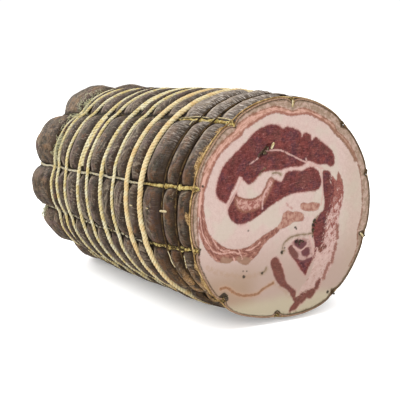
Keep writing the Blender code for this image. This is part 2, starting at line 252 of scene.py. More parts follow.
def string_floor(u):
    """Lowest z of a string's middle on the pressed underside."""
    near, far = STRING_FLOORS
    return near + (far - near) * smooth(*STRING_FLOOR_U, u)


def from_string(w):
    """Share of a lobe from the nearest string: 0 on it, 0.5 in the middle of a lobe."""
    share = w - np.floor(w)
    return np.minimum(share, 1 - share)


def strand_room(name, w):
    """How far a ring's second strand lies beside it: one thickness, and a sine bow more."""
    if name not in STRANDS:
        return 0 * w
    first, last, gap = STRANDS[name]
    w = w % len(STRINGS)
    thickness = [ring[2] for ring in RINGS if ring[0] == name][0]
    turn = np.clip((w - first) / (last - first), 0, 1)
    ends = smooth(0, SHOULDER_SHARE, w - first) * smooth(0, SHOULDER_SHARE, last - w)
    return ends * (thickness + CLEAR + gap * np.sin(math.pi * turn))


# The casing. A natural skin, dried on to the roll: dark grey-brown with a purple tinge, paler and
# dusty with bloom on the crests of the ribs, wrinkled across them, and amber where it is thin at
# the cut. It is made in four lengths that meet in the grooves under twine.
LENGTHS = [("casing_front", None, "twine_ring_1"),
           ("casing_middle", "twine_ring_1", "twine_ring_5"),
           ("casing_end", "twine_ring_5", "twine_ring_9"),
           ("casing_dome", "twine_ring_9", None)]
COLUMNS_PER_LOBE = 64
COLUMN_BUNCHING = 0.05
ROW_SPACING = {"casing_front": 0.00050, "casing_middle": 0.00056, "casing_end": 0.00078}
DOME_PLACES = 4000
DOME_MARGIN = 1e-7
SKIN_EDGE = 0.0007
# Places nearer to the cut than this belong to the skin's edge
EDGE_END_U = 0.001
RIB_CREST = 0.00030
# How round a rib is along the roll: the inner power at the strings and away from them, the shares
# of a lobe where it changes, and the outer power
RIB_POWERS = (1.2, 2.5)
RIB_POWER_SHARES = (0.03, 0.22)
RIB_OUTER_POWER = 0.62
# Shares of a lobe that a string's place and its notch take up
ON_STRING_SHARE = 0.05
NOTCH_SHARE = 0.10
# Edges sharper than this stay sharp in every piece
SHARP_DEG = 75
# Cells of the lattice behind soft uneven values
LATTICE = (64, 512)
# Unevenness of the skin: broad swells, crumples, ridges that slant across the ribs in patches, fine
# lines round the roll, and folds that start before the end knot. Each has its height and its
# cells: their length along u, how many go round the roll, and a seed.
BROAD_SWELL, BROAD_CELLS = 0.00045, (0.013, 21, 3)
CRUMPLE, CRUMPLE_CELLS = 0.00026, (0.0042, 75, 4)
RIDGE, RIDGE_CELLS, FINER_RIDGE_CELLS = 0.00028, (0.0075, 310, 5), (0.0045, 520, 6)
RIDGE_SLANT, SLANT_CELLS = 9.0, (0.03, 9, 11)
RIDGE_PATCH_CELLS = (0.015, 26, 7)
FINE_LINE, FINE_LINE_CELLS = 0.00010, (0.0016, 17, 8)
END_FOLD, END_FOLD_CELLS = 0.0011, (0.022, 46, 9)
END_FOLD_U = (0.196, 0.226)
# Lowest height of the underside's notches over the strings' lowest middles
OVER_STRING = 0.0019
# The skin at the cut, from inside the roll outwards: u and depth
CUT_EDGE = [(0.0030, -0.0014), (0.0005, -0.0010), (0.0, -SKIN_EDGE), (0.0, -0.00035),
            (0.0002, -0.00010), (0.0006, -0.00002)]
# Thin see-through skin at the cut: middle and width in degrees round the roll, reach in mm
THIN_SKIN = [(236, 13, 16), (214, 8, 3), (180, 7, 2), (148, 9, 4), (300, 20, 6), (30, 25, 4)]


def blended_cells(a, b, lattice, seed):
    """Values at places counted in cells of a lattice, which goes round on itself at its ends."""
    cells = np.random.default_rng(seed).random(lattice)
    a0, b0 = np.floor(a).astype(int), np.floor(b).astype(int)
    ta, tb = smooth(0, 1, a - a0), smooth(0, 1, b - b0)

    def at(i, j):
        return cells[(a0 + i) % lattice[0], (b0 + j) % lattice[1]]

    return ((at(0, 0) * (1 - tb) + at(0, 1) * tb) * (1 - ta)
            + (at(1, 0) * (1 - tb) + at(1, 1) * tb) * ta)


def cloudy(across, along, cell_across, cell_along, seed):
    """Soft uneven values from 0 to 1: random values at the corners of a lattice of cells, blended
    with t*t*(3 - 2t)."""
    return blended_cells(across / cell_across, along / cell_along, LATTICE, seed)


def round_cloudy(u, angle, cell_u, cells_round, seed):
    """The same round the roll, with a whole number of cells in the round."""
    turn = (angle / (2 * math.pi)) % 1.0 * cells_round
    return blended_cells(u / cell_u, turn, (LATTICE[0], cells_round), seed)


def grid_faces(rows, columns, wrap_rows=False, wrap_columns=False):
    """Quads between neighbouring rows and columns of a grid of points."""
    r = np.arange(rows if wrap_rows else rows - 1)[:, None]
    c = np.arange(columns if wrap_columns else columns - 1)[None, :]
    r2, c2 = (r + 1) % rows, (c + 1) % columns
    corners = [r * columns + c, r * columns + c2, r2 * columns + c2, r2 * columns + c]
    return np.stack(np.broadcast_arrays(*corners), axis=-1).reshape(-1, 4)


def fan_faces(loop, middle):
    """Triangles from each side of a loop of point numbers to one middle point."""
    loop = np.asarray(loop)
    return np.stack([loop, np.roll(loop, -1), np.full(len(loop), middle)], axis=-1)


def grid_pairs(pairs):
    """For each quad of a grid, the pairs of numbers at its four corners."""
    return np.stack([pairs[:-1, :-1], pairs[:-1, 1:], pairs[1:, 1:], pairs[1:, :-1]],
                    axis=-2).reshape(-1, 4, 2)


def make_piece(name, points, faces, finish, values=None, uv=None):
    """Puts points and faces, arrays of quads or triangles, into a mesh. Where the volume that they
    close comes out negative, every face is turned over. uv holds a pair for each corner."""
    points = np.asarray(points, float).reshape(-1, 3)
    volume = 0.0
    for array in faces:
        for k in range(1, array.shape[1] - 1):
            a, b, c = (points[array[:, i]] for i in (0, k, k + 1))
            volume += float((a * np.cross(b, c)).sum())
    if volume < 0:
        faces = [array[:, ::-1] for array in faces]
        uv = None if uv is None else [pairs[:, ::-1] for pairs in uv]
    corners = np.concatenate([array.ravel() for array in faces])
    sizes = np.concatenate([np.full(len(array), array.shape[1]) for array in faces])
    mesh = bpy.data.meshes.new(name)
    mesh.vertices.add(len(points))
    mesh.vertices.foreach_set("co", points.astype(np.float32).ravel())
    mesh.loops.add(len(corners))
    mesh.loops.foreach_set("vertex_index", corners.astype(np.int32))
    mesh.polygons.add(len(sizes))
    mesh.polygons.foreach_set("loop_start", np.concatenate([[0], np.cumsum(sizes)[:-1]]))
    if uv is not None:
        layer = mesh.uv_layers.new(name="UVMap")
        pairs = np.concatenate([np.asarray(p, float).reshape(-1, 2) for p in uv])
        layer.data.foreach_set("uv", pairs.astype(np.float32).ravel())
    for key, value in (values or {}).items():
        layer = mesh.attributes.new(key, "FLOAT", "POINT")
        layer.data.foreach_set("value", np.asarray(value, np.float32).ravel())
    mesh.update(calc_edges=True)
    mesh.validate()
    mesh.materials.append(finish)
    mesh.shade_smooth()
    mesh.set_sharp_from_angle(angle=math.radians(SHARP_DEG))
    piece = bpy.data.objects.new(name, mesh)
    bpy.context.scene.collection.objects.link(piece)
    return piece


def casing_rows():
    """Rows of the whole casing: u, share of the second strand's room, ring that has the room,
    height in the groove, place across the rib (0 and 1 in a groove), crest height, floor, mark."""
    rows = []

    def add(u, follow, ring, low, across_rib, crest, floor, mark=""):
        rows.append((u, follow, ring, low, across_rib, crest, floor, mark))

    for u, low in CUT_EDGE:
        add(u, 0, 0, low, 0, 0, 0)
    edge, last_depth, last_floor = CUT_EDGE[-1][0], 0.0, 0.0
    for index, (name, u, thickness, depth, _lean, _wave, _pull) in enumerate(RINGS):
        half = thickness / 2 + GROOVE_MARGIN
        spacing = ROW_SPACING["casing_front" if index < 4 else
                              "casing_middle" if index < 8 else "casing_end"]
        near, far = u - half, u + half
        count = max(4, round((near - edge) / spacing))
        floor = thickness + CLEAR
        crest = RIB_CREST if edge > EDGE_END_U else 0.0
        for t in (1 - np.cos(np.pi * np.arange(1, count) / count)) / 2:
            add(edge + t * (near - edge), t ** 0.7, index, -(last_depth * (1 - t) + depth * t), t,
                crest, last_floor * (1 - t) + floor * t)
        for part in (0.0, 0.25, 0.5, 0.75, 1.0):
            add(near + part * (far - near), 1 - part, index, -depth, 0, 0, floor,
                name if part == 0.5 else "")
        edge, last_depth, last_floor = far, depth, floor
    fine = np.linspace(edge, ROLL_LENGTH - DOME_MARGIN, DOME_PLACES)
    arc = np.concatenate([[0], np.cumsum(np.hypot(np.diff(fine), np.diff(profile(fine))))])
    count = round(arc[-1] / ROW_SPACING["casing_end"])
    for share in np.arange(1, count) / count:
        add(float(np.interp(share * arc[-1], arc, fine)), 0, len(RINGS) - 1, -last_depth,
            0.5 * float(smooth(0, 0.10, share)), 0, last_floor)
    return rows


def casing_points(rows):
    """Points of the casing's rows and columns, and what the finish reads at each of them. Across a
    rib the height follows (1 - |2t - 1| ** p) ** RIB_OUTER_POWER, where p is lower at the strings,
    so that ribs end in points. The skin is lifted and sunk by soft lattice values: broad unevenness,
    crumples, ridges that run across the ribs, and folds that gather towards the end knot."""
    t = np.arange(COLUMNS_PER_LOBE) / COLUMNS_PER_LOBE
    share = t - COLUMN_BUNCHING * np.sin(2 * math.pi * t)
    w = (np.arange(len(STRINGS))[:, None] + share[None, :]).ravel()[None, :]
    u0, follow, ring, low, across_rib, top, ground = (
        np.array([row[k] for row in rows], float)[:, None] for k in range(7))
    room = np.stack([strand_room(r[0], w[0]) for r in RINGS])[ring[:, 0].astype(int)]
    angle = string_angle(w, u0)
    away = from_string(w)
    beside = smooth(0, SHOULDER_SHARE, away)
    pointed, full = RIB_POWERS
    power = pointed + (full - pointed) * smooth(*RIB_POWER_SHARES, away)
    crest = (1 - np.abs(2 * across_rib - 1) ** power) ** RIB_OUTER_POWER
    height = low + (top - low) * crest
    ground = ground * (1 - crest)
    groove = np.where(u0 > EDGE_END_U, np.minimum(height, 0) * beside + np.maximum(height, 0), height)
    base = lobe_height(u0, w)

    def swing(cells, turn=angle):
        return 2 * round_cloudy(u0, turn, *cells) - 1

    broad = BROAD_SWELL * swing(BROAD_CELLS)
    crumple = CRUMPLE * swing(CRUMPLE_CELLS)
    slanted = angle + RIDGE_SLANT * u0 * swing(SLANT_CELLS)
    ridges = 1 - np.abs(swing(RIDGE_CELLS, slanted))
    finer = 1 - np.abs(swing(FINER_RIDGE_CELLS, slanted))
    patches = smooth(0.25, 0.65, round_cloudy(u0, angle, *RIDGE_PATCH_CELLS))
    wrinkle = (ridges ** 3 + 0.7 * finer ** 3) * patches
    lines = 1 - np.abs(swing(FINE_LINE_CELLS))
    gather = smooth(*END_FOLD_U, u0) * np.sqrt(np.clip(profile(u0) / FACE_RADIUS, 0, 1))
    folds = END_FOLD * gather * swing(END_FOLD_CELLS)
    keep = crest * smooth(0.0, 0.004, u0)
    uneven = (broad * beside + crumple + RIDGE * wrinkle + FINE_LINE * lines ** 4) * keep + folds
    points = place(u0 - follow * room, angle, base + groove + uneven)
    on_string = 1 - smooth(0.0, ON_STRING_SHARE, away)
    lowest = np.maximum(ground * beside, (string_floor(u0) + OVER_STRING) * on_string)
    points[..., 2] = np.maximum(points[..., 2], lowest)
    degrees = np.degrees(angle) % 360
    thin = np.sum([reach * np.exp(-((degrees - middle) / wide) ** 2)
                   for middle, wide, reach in THIN_SKIN], axis=0)
    values = {"crest": crest, "notch": 1 - smooth(0.0, NOTCH_SHARE, away) + 0 * u0,
              "from_cut": 1000 * u0 + 0 * w, "wrinkle": wrinkle * keep,
              "far_side": across_rib + 0 * w, "thin": thin}
    return points, values


# How much of a tone on screen the surface itself takes
SURFACE_SHARE = 0.46


class Tone:
    """A value or colour on its way through a finish: a sum written with it adds the nodes."""

    def __init__(self, finish, socket):
        self.finish, self.socket = finish, socket

    def _sum(self, operation, left, right):
        return self.finish.node("Math", {"operation": operation}, {0: left, 1: right})

    def __add__(self, other):
        return self._sum("ADD", self, other)

    def __radd__(self, other):
        return self._sum("ADD", other, self)

    def __sub__(self, other):
        return self._sum("SUBTRACT", self, other)

    def __rsub__(self, other):
        return self._sum("SUBTRACT", other, self)

    def __mul__(self, other):
        return self._sum("MULTIPLY", self, other)

    def __rmul__(self, other):
        return self._sum("MULTIPLY", other, self)

    def step(self, low, high):
        """0 below low and 1 above high, with a soft step between."""
        return self.finish.node("MapRange", {"interpolation_type": "SMOOTHSTEP"},
                                {"Value": self, "From Min": low, "From Max": high})


class Finish:
    """One procedural material: a Principled surface and the nodes that feed it."""

    def __init__(self, name):
        self.material = bpy.data.materials.new(name)
        self.material.use_nodes = True
        self.tree = self.material.node_tree
        self.surface = self.tree.nodes["Principled BSDF"]
        self.coordinates = self.node("TexCoord", output="Object")

    def node(self, kind, settings=None, sockets=None, output=0):
        """Adds a node of a kind: first its settings, then its sockets, by value or by link."""
        made = self.tree.nodes.new("ShaderNode" + kind)
        for key, value in (settings or {}).items():
            setattr(made, key, value)
        for key, value in (sockets or {}).items():
            if isinstance(value, Tone):
                self.tree.links.new(value.socket, made.inputs[key])
            else:
                made.inputs[key].default_value = value
        return Tone(self, made.outputs[output])

    def stretched(self, x, y, z):
        """Object coordinates in millimetres, multiplied by x, y and z."""
        return self.node("Mapping", None, {"Vector": self.coordinates,
                                           "Scale": (1000 * x, 1000 * y, 1000 * z)})

    def noise(self, where, size, detail=2.0, rough=0.5, distortion=0.0):
        """Cloudy values from 0 to 1 with lumps of about a size in millimetres."""
        return self.node("TexNoise", None, {"Vector": where, "Scale": 1 / size, "Detail": detail,
                                            "Roughness": rough, "Distortion": distortion})

    def cells(self, where, size):
        """Distances from the middles of cells of about a size in millimetres."""
        return self.node("TexVoronoi", None, {"Vector": where, "Scale": 1 / size}, "Distance")

    def value(self, name):
        """What the mesh holds at each point under a name."""
        return self.node("Attribute", {"attribute_name": name}, None, "Fac")

    def mix(self, first, second, share):
        """Goes from the first colour to the second by a share."""
        return self.node("Mix", {"data_type": "RGBA"}, {0: share, 6: first, 7: second}, 2)

    def shade(self, colour, amount):
        """A colour times a value."""
        grey = self.node("CombineColor", None, {0: amount, 1: amount, 2: amount})
        return self.node("Mix", {"data_type": "RGBA", "blend_type": "MULTIPLY"},
                         {0: 1.0, 6: colour, 7: grey}, 2)

    def bump(self, height, distance, strength=1.0):
        """A bumped normal from a height of 0 to 1 that stands for a distance."""
        return self.node("Bump", None, {"Height": height, "Distance": distance,
                                        "Strength": strength}, "Normal")

    def apply(self, **sockets):
        """Feeds the surface: names of its sockets, with spaces written as underscores."""
        for key, value in sockets.items():
            socket = self.surface.inputs[key.replace("_", " ")]
            if isinstance(value, Tone):
                self.tree.links.new(value.socket, socket)
            else:
                socket.default_value = value
        return self.material


def tint(red, green, blue):
    """A colour from its 0 to 255 values on screen. The studio's light shows a surface brighter than
    it is, so that the surface takes SURFACE_SHARE of it."""
    screen = np.array([red, green, blue]) / 255
    light = np.where(screen <= 0.04045, screen / 12.92, ((screen + 0.055) / 1.055) ** 2.4)
    return (*[float(v) * SURFACE_SHARE for v in light], 1.0)


def casing_finish():
    """Dark skin in patches of black-brown, blue-grey, purple-grey and reddish brown, with painted shade on
    the near side of each rib, in the grooves and in the notches, and painted highlight on the far side of
    each rib and on the top, with pale hairs along and across it, amber and mottled near the cut."""
    skin = Finish("casing_skin")
    even = skin.stretched(1, 1, 1)
    laid = skin.node("UVMap", {"uv_map": "UVMap"})
    crest, notch, far_side = skin.value("crest"), skin.value("notch"), skin.value("far_side")
    from_cut, wrinkle = skin.value("from_cut"), skin.value("wrinkle")
    middle = skin.noise(even, 4.5, 4, 0.65)
    fine = skin.noise(even, 0.8, 4, 0.7)
    slant = skin.noise(even, 9, 2) * 2.4
    across_rib = skin.node("CombineXYZ", None, {1: slant})
    hair_place = skin.node("Mapping", None, {"Vector": laid, "Scale": (0.08, 1.0, 1.0),
                                             "Location": across_rib})
    along_rib = skin.node("CombineXYZ", None, {0: slant * 0.3})
    rib_place = skin.node("Mapping", None, {"Vector": laid, "Scale": (1.0, 0.10, 1.0),
                                            "Location": along_rib})
    hair = skin.noise(hair_place, 0.45, 3, 0.6)
    silk = skin.noise(rib_place, 0.7, 3, 0.65)

    # Ground tones in patches, ruddy before the first twine. The top is painted greyer and paler as painted
    # highlight, more so on the ribs before the first twine.
    height = skin.node("SeparateXYZ", None, {"Vector": even}, "Z")
    sideways = skin.node("SeparateXYZ", None, {"Vector": even}, "Y")
    top = height.step(92, 130)
    front = 1 - from_cut.step(44, 66)
    colour = skin.mix(tint(56, 43, 32), tint(116, 97, 80), middle.step(0.38, 0.62))
    colour = skin.mix(colour, tint(70, 64, 48), 0.8 * skin.noise(even, 7, 3, 0.6).step(0.50, 0.58))
    colour = skin.mix(colour, tint(98, 90, 80), 0.5 * skin.noise(even, 10, 4, 0.65).step(0.55, 0.64))
    colour = skin.mix(colour, tint(114, 90, 84), 0.8 * skin.noise(even, 12, 4, 0.65, 0.4).step(0.52, 0.62))
    blotch = skin.noise(even, 7, 5, 0.7, 0.8).step(0.55, 0.66)
    colour = skin.mix(colour, tint(132, 90, 60), 0.8 * blotch)
    ruddy = skin.noise(even, 8, 4, 0.65, 0.5).step(0.50, 0.60) * front
    colour = skin.mix(colour, tint(116, 78, 48), 0.70 * ruddy)
    # Painted highlight: the top of the roll is painted paler and greyer, most on the front ribs
    colour = skin.mix(colour, tint(160, 146, 134), (0.10 + 0.50 * front) * top)
    colour = skin.shade(colour, 0.56 + 0.34 * fine.step(0.32, 0.68) + 0.30 * hair.step(0.36, 0.64)
                        + 0.26 * silk.step(0.3, 0.7))

    # Ribs: painted shade on the near side, painted highlight on the far side, and hairs on their crests
    painted_shade_side = (0.52 - far_side).step(0.0, 0.36) * (1 - 0.3 * top * front)
    colour = skin.mix(colour, tint(48, 36, 25), 0.74 * painted_shade_side)
    painted_highlight_side = (far_side.step(0.62, 0.84) * (1.02 - far_side).step(0.0, 0.14)
                 * (1 - 0.6 * front * (1 - top)))
    pale = skin.mix(tint(138, 116, 108), tint(196, 176, 150),
                    skin.noise(even, 9, 3).step(0.4, 0.6) + 0.5 * top)
    colour = skin.mix(colour, pale, 0.90 * painted_highlight_side * (0.50 + 0.8 * silk.step(0.3, 0.62)))
    hairs = hair.step(0.56, 0.66) * skin.noise(even, 5, 2).step(0.42, 0.58)
    colour = skin.mix(colour, tint(200, 182, 158), 0.55 * hairs * crest.step(0.2, 0.7)
                      * (1 - 0.75 * front * (1 - top)))
    # Painted highlight: hairs on the top of the front ribs are painted near white
    colour = skin.mix(colour, tint(244, 232, 220), 0.80 * hair.step(0.50, 0.64) * top * front)
    dark_hairs = (1 - hair).step(0.56, 0.66)
    colour = skin.mix(colour, tint(46, 36, 26), 0.42 * dark_hairs * crest.step(0.2, 0.7))
    colour = skin.mix(colour, tint(196, 178, 154), 0.5 * wrinkle.step(0.5, 1.3))

    # The far lobes, with tan patches and bloom
    far_patch = from_cut.step(178, 200) * skin.noise(even, 11, 4, 0.65).step(0.50, 0.60)
    colour = skin.mix(colour, tint(190, 146, 104), 0.42 * far_patch * middle.step(0.35, 0.6))
    far_bloom = from_cut.step(176, 205) * skin.noise(even, 13, 3, 0.6).step(0.48, 0.64)
    colour = skin.mix(colour, tint(156, 132, 104), 0.32 * far_bloom)

    # Grease stains low down by the cut, painted shade in the grooves with specks of grime in it, and painted
    # shade in the notches
    underneath = (40 - height).step(0, 16) * (40 - from_cut).step(0, 16)
    stained = underneath * skin.noise(even, 6, 5, 0.7, 0.8).step(0.44, 0.56)
    stain_tone = skin.mix(tint(150, 104, 60), tint(206, 168, 116), fine.step(0.42, 0.60))
    colour = skin.mix(colour, stain_tone, 0.8 * stained)
    # Painted shade: past the cut edge the grooves between the ribs are painted nearly black
    deep = (1 - crest).step(0.34, 0.85) * from_cut.step(1.0, 2.6)
    colour = skin.mix(colour, tint(40, 28, 18), 0.92 * deep)
    grime = skin.noise(even, 1.8, 4, 0.7).step(0.56, 0.68)
    colour = skin.mix(colour, tint(150, 120, 66), 0.5 * deep * grime)
    # Painted shade: the notches at the strings are painted nearly black
    colour = skin.mix(colour, tint(36, 27, 18), 0.88 * notch.step(0.30, 0.92))

    # Thin amber skin next to the cut, and the cut edge itself, dark on the right
    reach = (0.8 + skin.value("thin") * (0.5 + skin.noise(even, 6, 3, 0.6))
             + 4.0 * skin.noise(even, 8, 3, 0.6).step(0.45, 0.7))
    amber = (reach - from_cut + 5 * (middle - 0.5)).step(-1.0, 1.4)
    amber_tone = skin.mix(tint(132, 92, 50), tint(220, 184, 128), fine.step(0.38, 0.58))
    mottle = skin.noise(even, 2.4, 4, 0.7).step(0.52, 0.64) * from_cut.step(2.0, 4.0)
    amber_tone = skin.mix(amber_tone, tint(48, 38, 28), 0.88 * mottle)
    colour = skin.mix(colour, amber_tone, 0.92 * amber)
    edge = (1.7 - from_cut + 1.0 * (fine - 0.5)).step(-0.2, 0.6)
    edge_tone = skin.mix(tint(150, 116, 92), tint(190, 156, 134), fine.step(0.42, 0.60))
    edge_tone = skin.mix(edge_tone, tint(70, 50, 32),
                         0.8 * (from_cut - 0.5 + 0.8 * (fine - 0.5)).step(0.0, 0.3))
    edge_tone = skin.mix(edge_tone, tint(84, 64, 44), 0.85 * (sideways + 6 * (middle - 0.5)).step(8, 40))
    colour = skin.mix(colour, edge_tone, 0.92 * edge)
    bump_height = 0.35 * fine + 0.6 * hair + 0.5 * silk + 0.6 * middle
    return skin.apply(Base_Color=colour, Roughness=0.50 + 0.16 * fine, Specular_IOR_Level=0.03,
                      Normal=skin.bump(bump_height, 0.00085, 1.0))


rows = casing_rows()
casing = casing_finish()
for name, first, last in LENGTHS:
    marks = [row[7] for row in rows]
    start = marks.index(first) if first else 0
    stop = marks.index(last) if last else len(rows) - 1
    points, values = casing_points(rows[start:stop + 1])
    n_rows, n_columns = points.shape[:2]
    last_row = (n_rows - 1) * n_columns + np.arange(n_columns)
    near_middle, far_middle = points[0].mean(axis=0), points[-1].mean(axis=0)
    faces = [grid_faces(n_rows, n_columns, wrap_columns=True),
             fan_faces(np.arange(n_columns)[::-1], n_rows * n_columns),
             fan_faces(last_row, n_rows * n_columns + 1)]
    turned = np.arange(n_columns + 1) * (2 * math.pi * 1000 * FACE_RADIUS / n_columns)
    laid = np.stack(np.broadcast_arrays(values["from_cut"][:, :1], turned[None, :]), axis=-1)
    uv = [grid_pairs(laid), np.zeros((n_columns, 3, 2)), np.zeros((n_columns, 3, 2))]
    all_points = np.concatenate([points.reshape(-1, 3), [near_middle, far_middle]])
    ends = {key: np.concatenate([v.ravel(), [v[0, 0], v[-1, 0]]]) for key, v in values.items()}
    piece = make_piece(name, all_points, faces, casing, ends, uv)
    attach(piece, "root")
    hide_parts("pancetta_roll")


# The cut face. Two rolled bellies of pork sliced across: white fat, dark red lean, and thinner
# streaks of both, rolled into a spiral. The casing shows as a thin edge round it. The lean stands
# a little lower than the fat, and cracks and a pit open where the roll isn't quite closed.

# Outlines of the lean and the rosy parts, as points of the picture
TOP_LEAN = [(268, 125), (278, 125), (283, 128.5), (287, 126.5), (295, 128.5), (301, 132), (302, 137),
            (305, 132.5), (310.5, 134.5), (312, 140), (316, 137), (321, 141), (328, 146.5),
            (333, 152), (335, 159.5), (334, 165), (330, 166.4), (326.6, 164.4), (319, 164.6),
            (312, 161.7), (308, 161.3), (301.6, 166), (289, 167.5), (279, 170.5), (269.7, 171),
            (260.5, 174.5), (254, 182), (248.5, 184.6), (243.5, 180), (239.8, 176.5),
            (236, 184), (231.5, 193), (228.8, 200), (225.6, 203.6), (221, 200.5), (216.3, 195),
            (217, 184), (221, 171), (225, 164), (230.5, 158), (238, 150.5), (247, 141), (256, 131)]
MIDDLE_LEAN = [(286.5, 172.5), (294, 170.5), (302, 170.8), (311, 166.5), (317.4, 170), (320.5, 176),
               (321.8, 183), (318, 190), (308, 191.6), (292, 194), (279.3, 200.5), (269.7, 207),
               (261, 214), (249, 222), (238, 224.6), (231.5, 220.3), (228.3, 213.9), (229, 206),
               (233, 197), (236.2, 192.5), (238.4, 196), (243, 198.6), (252.2, 199), (260.2, 195),
               (265, 188.4), (270, 183), (275.5, 179.8), (281.7, 181.5)]
SIDE_LEAN = [(323, 171.5), (326.5, 170.2), (330.3, 171.7), (332, 178.5), (334.6, 184), (335, 192),
             (333, 200), (331.6, 209), (328.4, 216), (327, 222), (326, 229.4), (324.8, 237),
             (322.8, 245), (319, 250.4), (317.4, 248), (316, 252), (315.4, 257), (313.6, 258.2),
             (314.4, 252), (315, 247), (313.8, 238), (312.4, 231), (313.4, 224), (317, 218.5),
             (319.6, 213.5), (323, 210.4), (324.6, 204), (323.8, 194), (322.8, 185)]
CORE_LEAN = [(291.8, 256.6), (297.6, 258.4), (303, 260.6), (308, 258.4), (313.6, 256.8), (311.6, 262.6),
             (307.8, 269.6), (305.8, 275.2), (303, 272.6), (300, 269), (296.4, 262.6)]
CORE_CAP = [(294, 241.4), (299.4, 239.8), (306.8, 242), (305.6, 246.4), (301.4, 249), (296.6, 247)]
CORE_EYE = [(302, 250), (305, 247.6), (309, 247.6), (310.6, 251.4), (308.6, 255.6), (304.4, 256.6),
            (301.4, 253.6)]
CORE_LEFT = [(288.4, 248), (291, 245.2), (294, 247), (296.4, 251), (298.8, 255), (298, 258.6), (294.4, 258.4),
             (291, 255.6), (289, 252)]
TAIL_LEAN = [(270.5, 262), (276, 256.6), (279.6, 261), (283, 269), (286.5, 281.5), (291, 286.5),
             (296, 291), (295.6, 297), (294.4, 302), (291.6, 297), (288, 290.5), (281, 286.5),
             (275.8, 280), (272.5, 271)]
LOW_LEAN = [(305.4, 291.4), (307.2, 296.8), (303.4, 302), (299.6, 304.4), (297, 308), (293, 311),
            (289, 312.2), (290.8, 307), (294, 302.6), (293.8, 298.4), (297.4, 296.6), (300.6, 293)]
LOW_LEAN_MIDDLE = [(305, 290.6), (309, 289.4), (312.6, 287.4), (315.8, 290), (314, 294.2), (310.8, 298.2),
                   (306.8, 298), (304.6, 294.6)]
LOW_LEAN_END = [(316.4, 280.6), (318.8, 277.8), (321, 279), (320, 284.6), (317.8, 289), (314.6, 290.2),
                (314.4, 286)]
SIDE_LEAN_END = [(319.8, 246.2), (323, 243.8), (326.8, 244.4), (326.4, 248.2), (323, 250.6), (320.4, 252.6),
                 (318.2, 249.8)]
RIGHT_STREAK = [(338.3, 172), (341, 176), (343, 183), (343.4, 191), (341.6, 199), (338.8, 203),
                (336.6, 197), (336.4, 184)]
MARBLED = [(332, 176), (336, 180), (340, 180), (343.2, 186), (343.8, 195), (341.2, 207), (338.8, 218),
           (338, 235), (336, 249.5), (333.4, 261.6), (329.4, 270.5), (323.6, 279.6), (320, 282),
           (314, 287), (306, 291), (298, 296), (301, 288), (308, 278), (313, 266), (316.6, 252),
           (322, 244), (325, 230), (327, 218), (330, 206), (332, 192)]
OUTER_ISLANDS = [[(337.4, 226), (337.2, 238)], [(336, 244), (335, 249.4)], [(333.8, 252.6), (332, 262)],
                 [(329, 263.4), (326.8, 269.4)], [(325.6, 271.4), (323.4, 278)]]
PALE_OVAL_LOW = [(282.5, 216), (284.4, 212.6), (288, 210.4), (292.6, 211.6), (299, 211.6), (303.2, 213.8),
                 (304.2, 218.4), (302, 221.4), (294, 222), (289.6, 225.4), (284, 228.4), (278.6, 229.6),
                 (277.6, 226.6), (281.4, 221)]
PALE_OVAL_HIGH = [(301, 203.8), (304.4, 202.2), (307.6, 203.4), (312, 202), (317, 202.8), (320, 203.6),
                  (319.2, 207.4), (316.4, 210.4), (310, 211.4), (304.5, 210.8), (300.8, 208)]
CORE_ROUND = [(289, 250), (290.6, 243.4), (296, 239), (303, 237.6), (310, 240), (313, 248), (314, 256),
              (310, 262), (303, 263), (296, 259.6), (291, 255.6)]
RED_STAINS = [[(286.8, 203.6), (288.4, 205.8)], [(290.4, 207), (292, 208.6)]]
ROSY_POCKET = [(236.5, 197.5), (243, 199.4), (252, 200), (260.5, 196), (265.2, 190), (267, 184),
               (270.5, 178), (273.6, 180.5), (271, 189), (266.5, 198), (262, 205), (253, 210.5),
               (243, 211.5), (237, 206)]
BELT = [(198.6, 228), (201.6, 241), (205, 248), (210, 255.5), (217.5, 262), (228, 263.6),
        (234.6, 260.4), (241, 263.8), (247, 265), (251.5, 260.5), (257, 255.7), (262.5, 247),
        (268.5, 240), (274, 236), (280, 229.5), (276.5, 227), (271, 231), (264, 235), (257, 240.4),
        (249, 246.4), (240, 248.8), (231.5, 249.2), (223, 246.2), (216.6, 241.4), (211, 236),
        (207.6, 229), (204.8, 217), (202.6, 205), (200.4, 208)]
# The outer thin streak of lean, its inner neighbour, and the band of pressed fat outside them
OUTER_STREAK = [(199.6, 262), (198.6, 246), (197.7, 228), (197.9, 209), (200, 190), (202.8, 176),
                (207, 163), (212, 155), (218.7, 146), (225.7, 138.5), (234.6, 131.2), (238.5, 124),
                (247, 117.6), (260, 111), (273, 106.8), (281, 107.2), (289, 110), (293, 111.4),
                (298, 109), (305, 108.2), (316, 113), (326, 119), (333.5, 124), (337, 131),
                (344, 137), (350, 145), (355, 155), (358.5, 165), (361, 178), (362.2, 190),
                (362.4, 205.5), (361, 218), (357.6, 231), (357.4, 244), (354, 256), (349, 266)]
INNER_STREAK = [(203.4, 217), (202.6, 205), (204, 193), (207, 182), (211, 170.6), (215.5, 161),
                (222, 151.4), (231.5, 142), (240.6, 135), (244, 129.6), (250.6, 125), (260, 118.4),
                (273, 112.4), (281, 112.4), (289.6, 114.6), (299, 114.2), (308.7, 113.6),
                (318, 118), (328, 124.2), (335, 132.4), (344, 141.6), (350.5, 150.5), (356, 161)]
LOW_STREAK = [(221, 289), (225, 287.6), (229, 289), (233, 292), (238.5, 294.6), (244, 295.8),
              (251, 295.4), (257.6, 293.6), (262, 290), (268, 286), (273, 283)]
FAINT_STREAKS = [[(207, 268), (219, 273), (234, 275.6), (250, 276.6), (262, 273)],
                 [(274, 283), (284, 290), (290, 296)]]
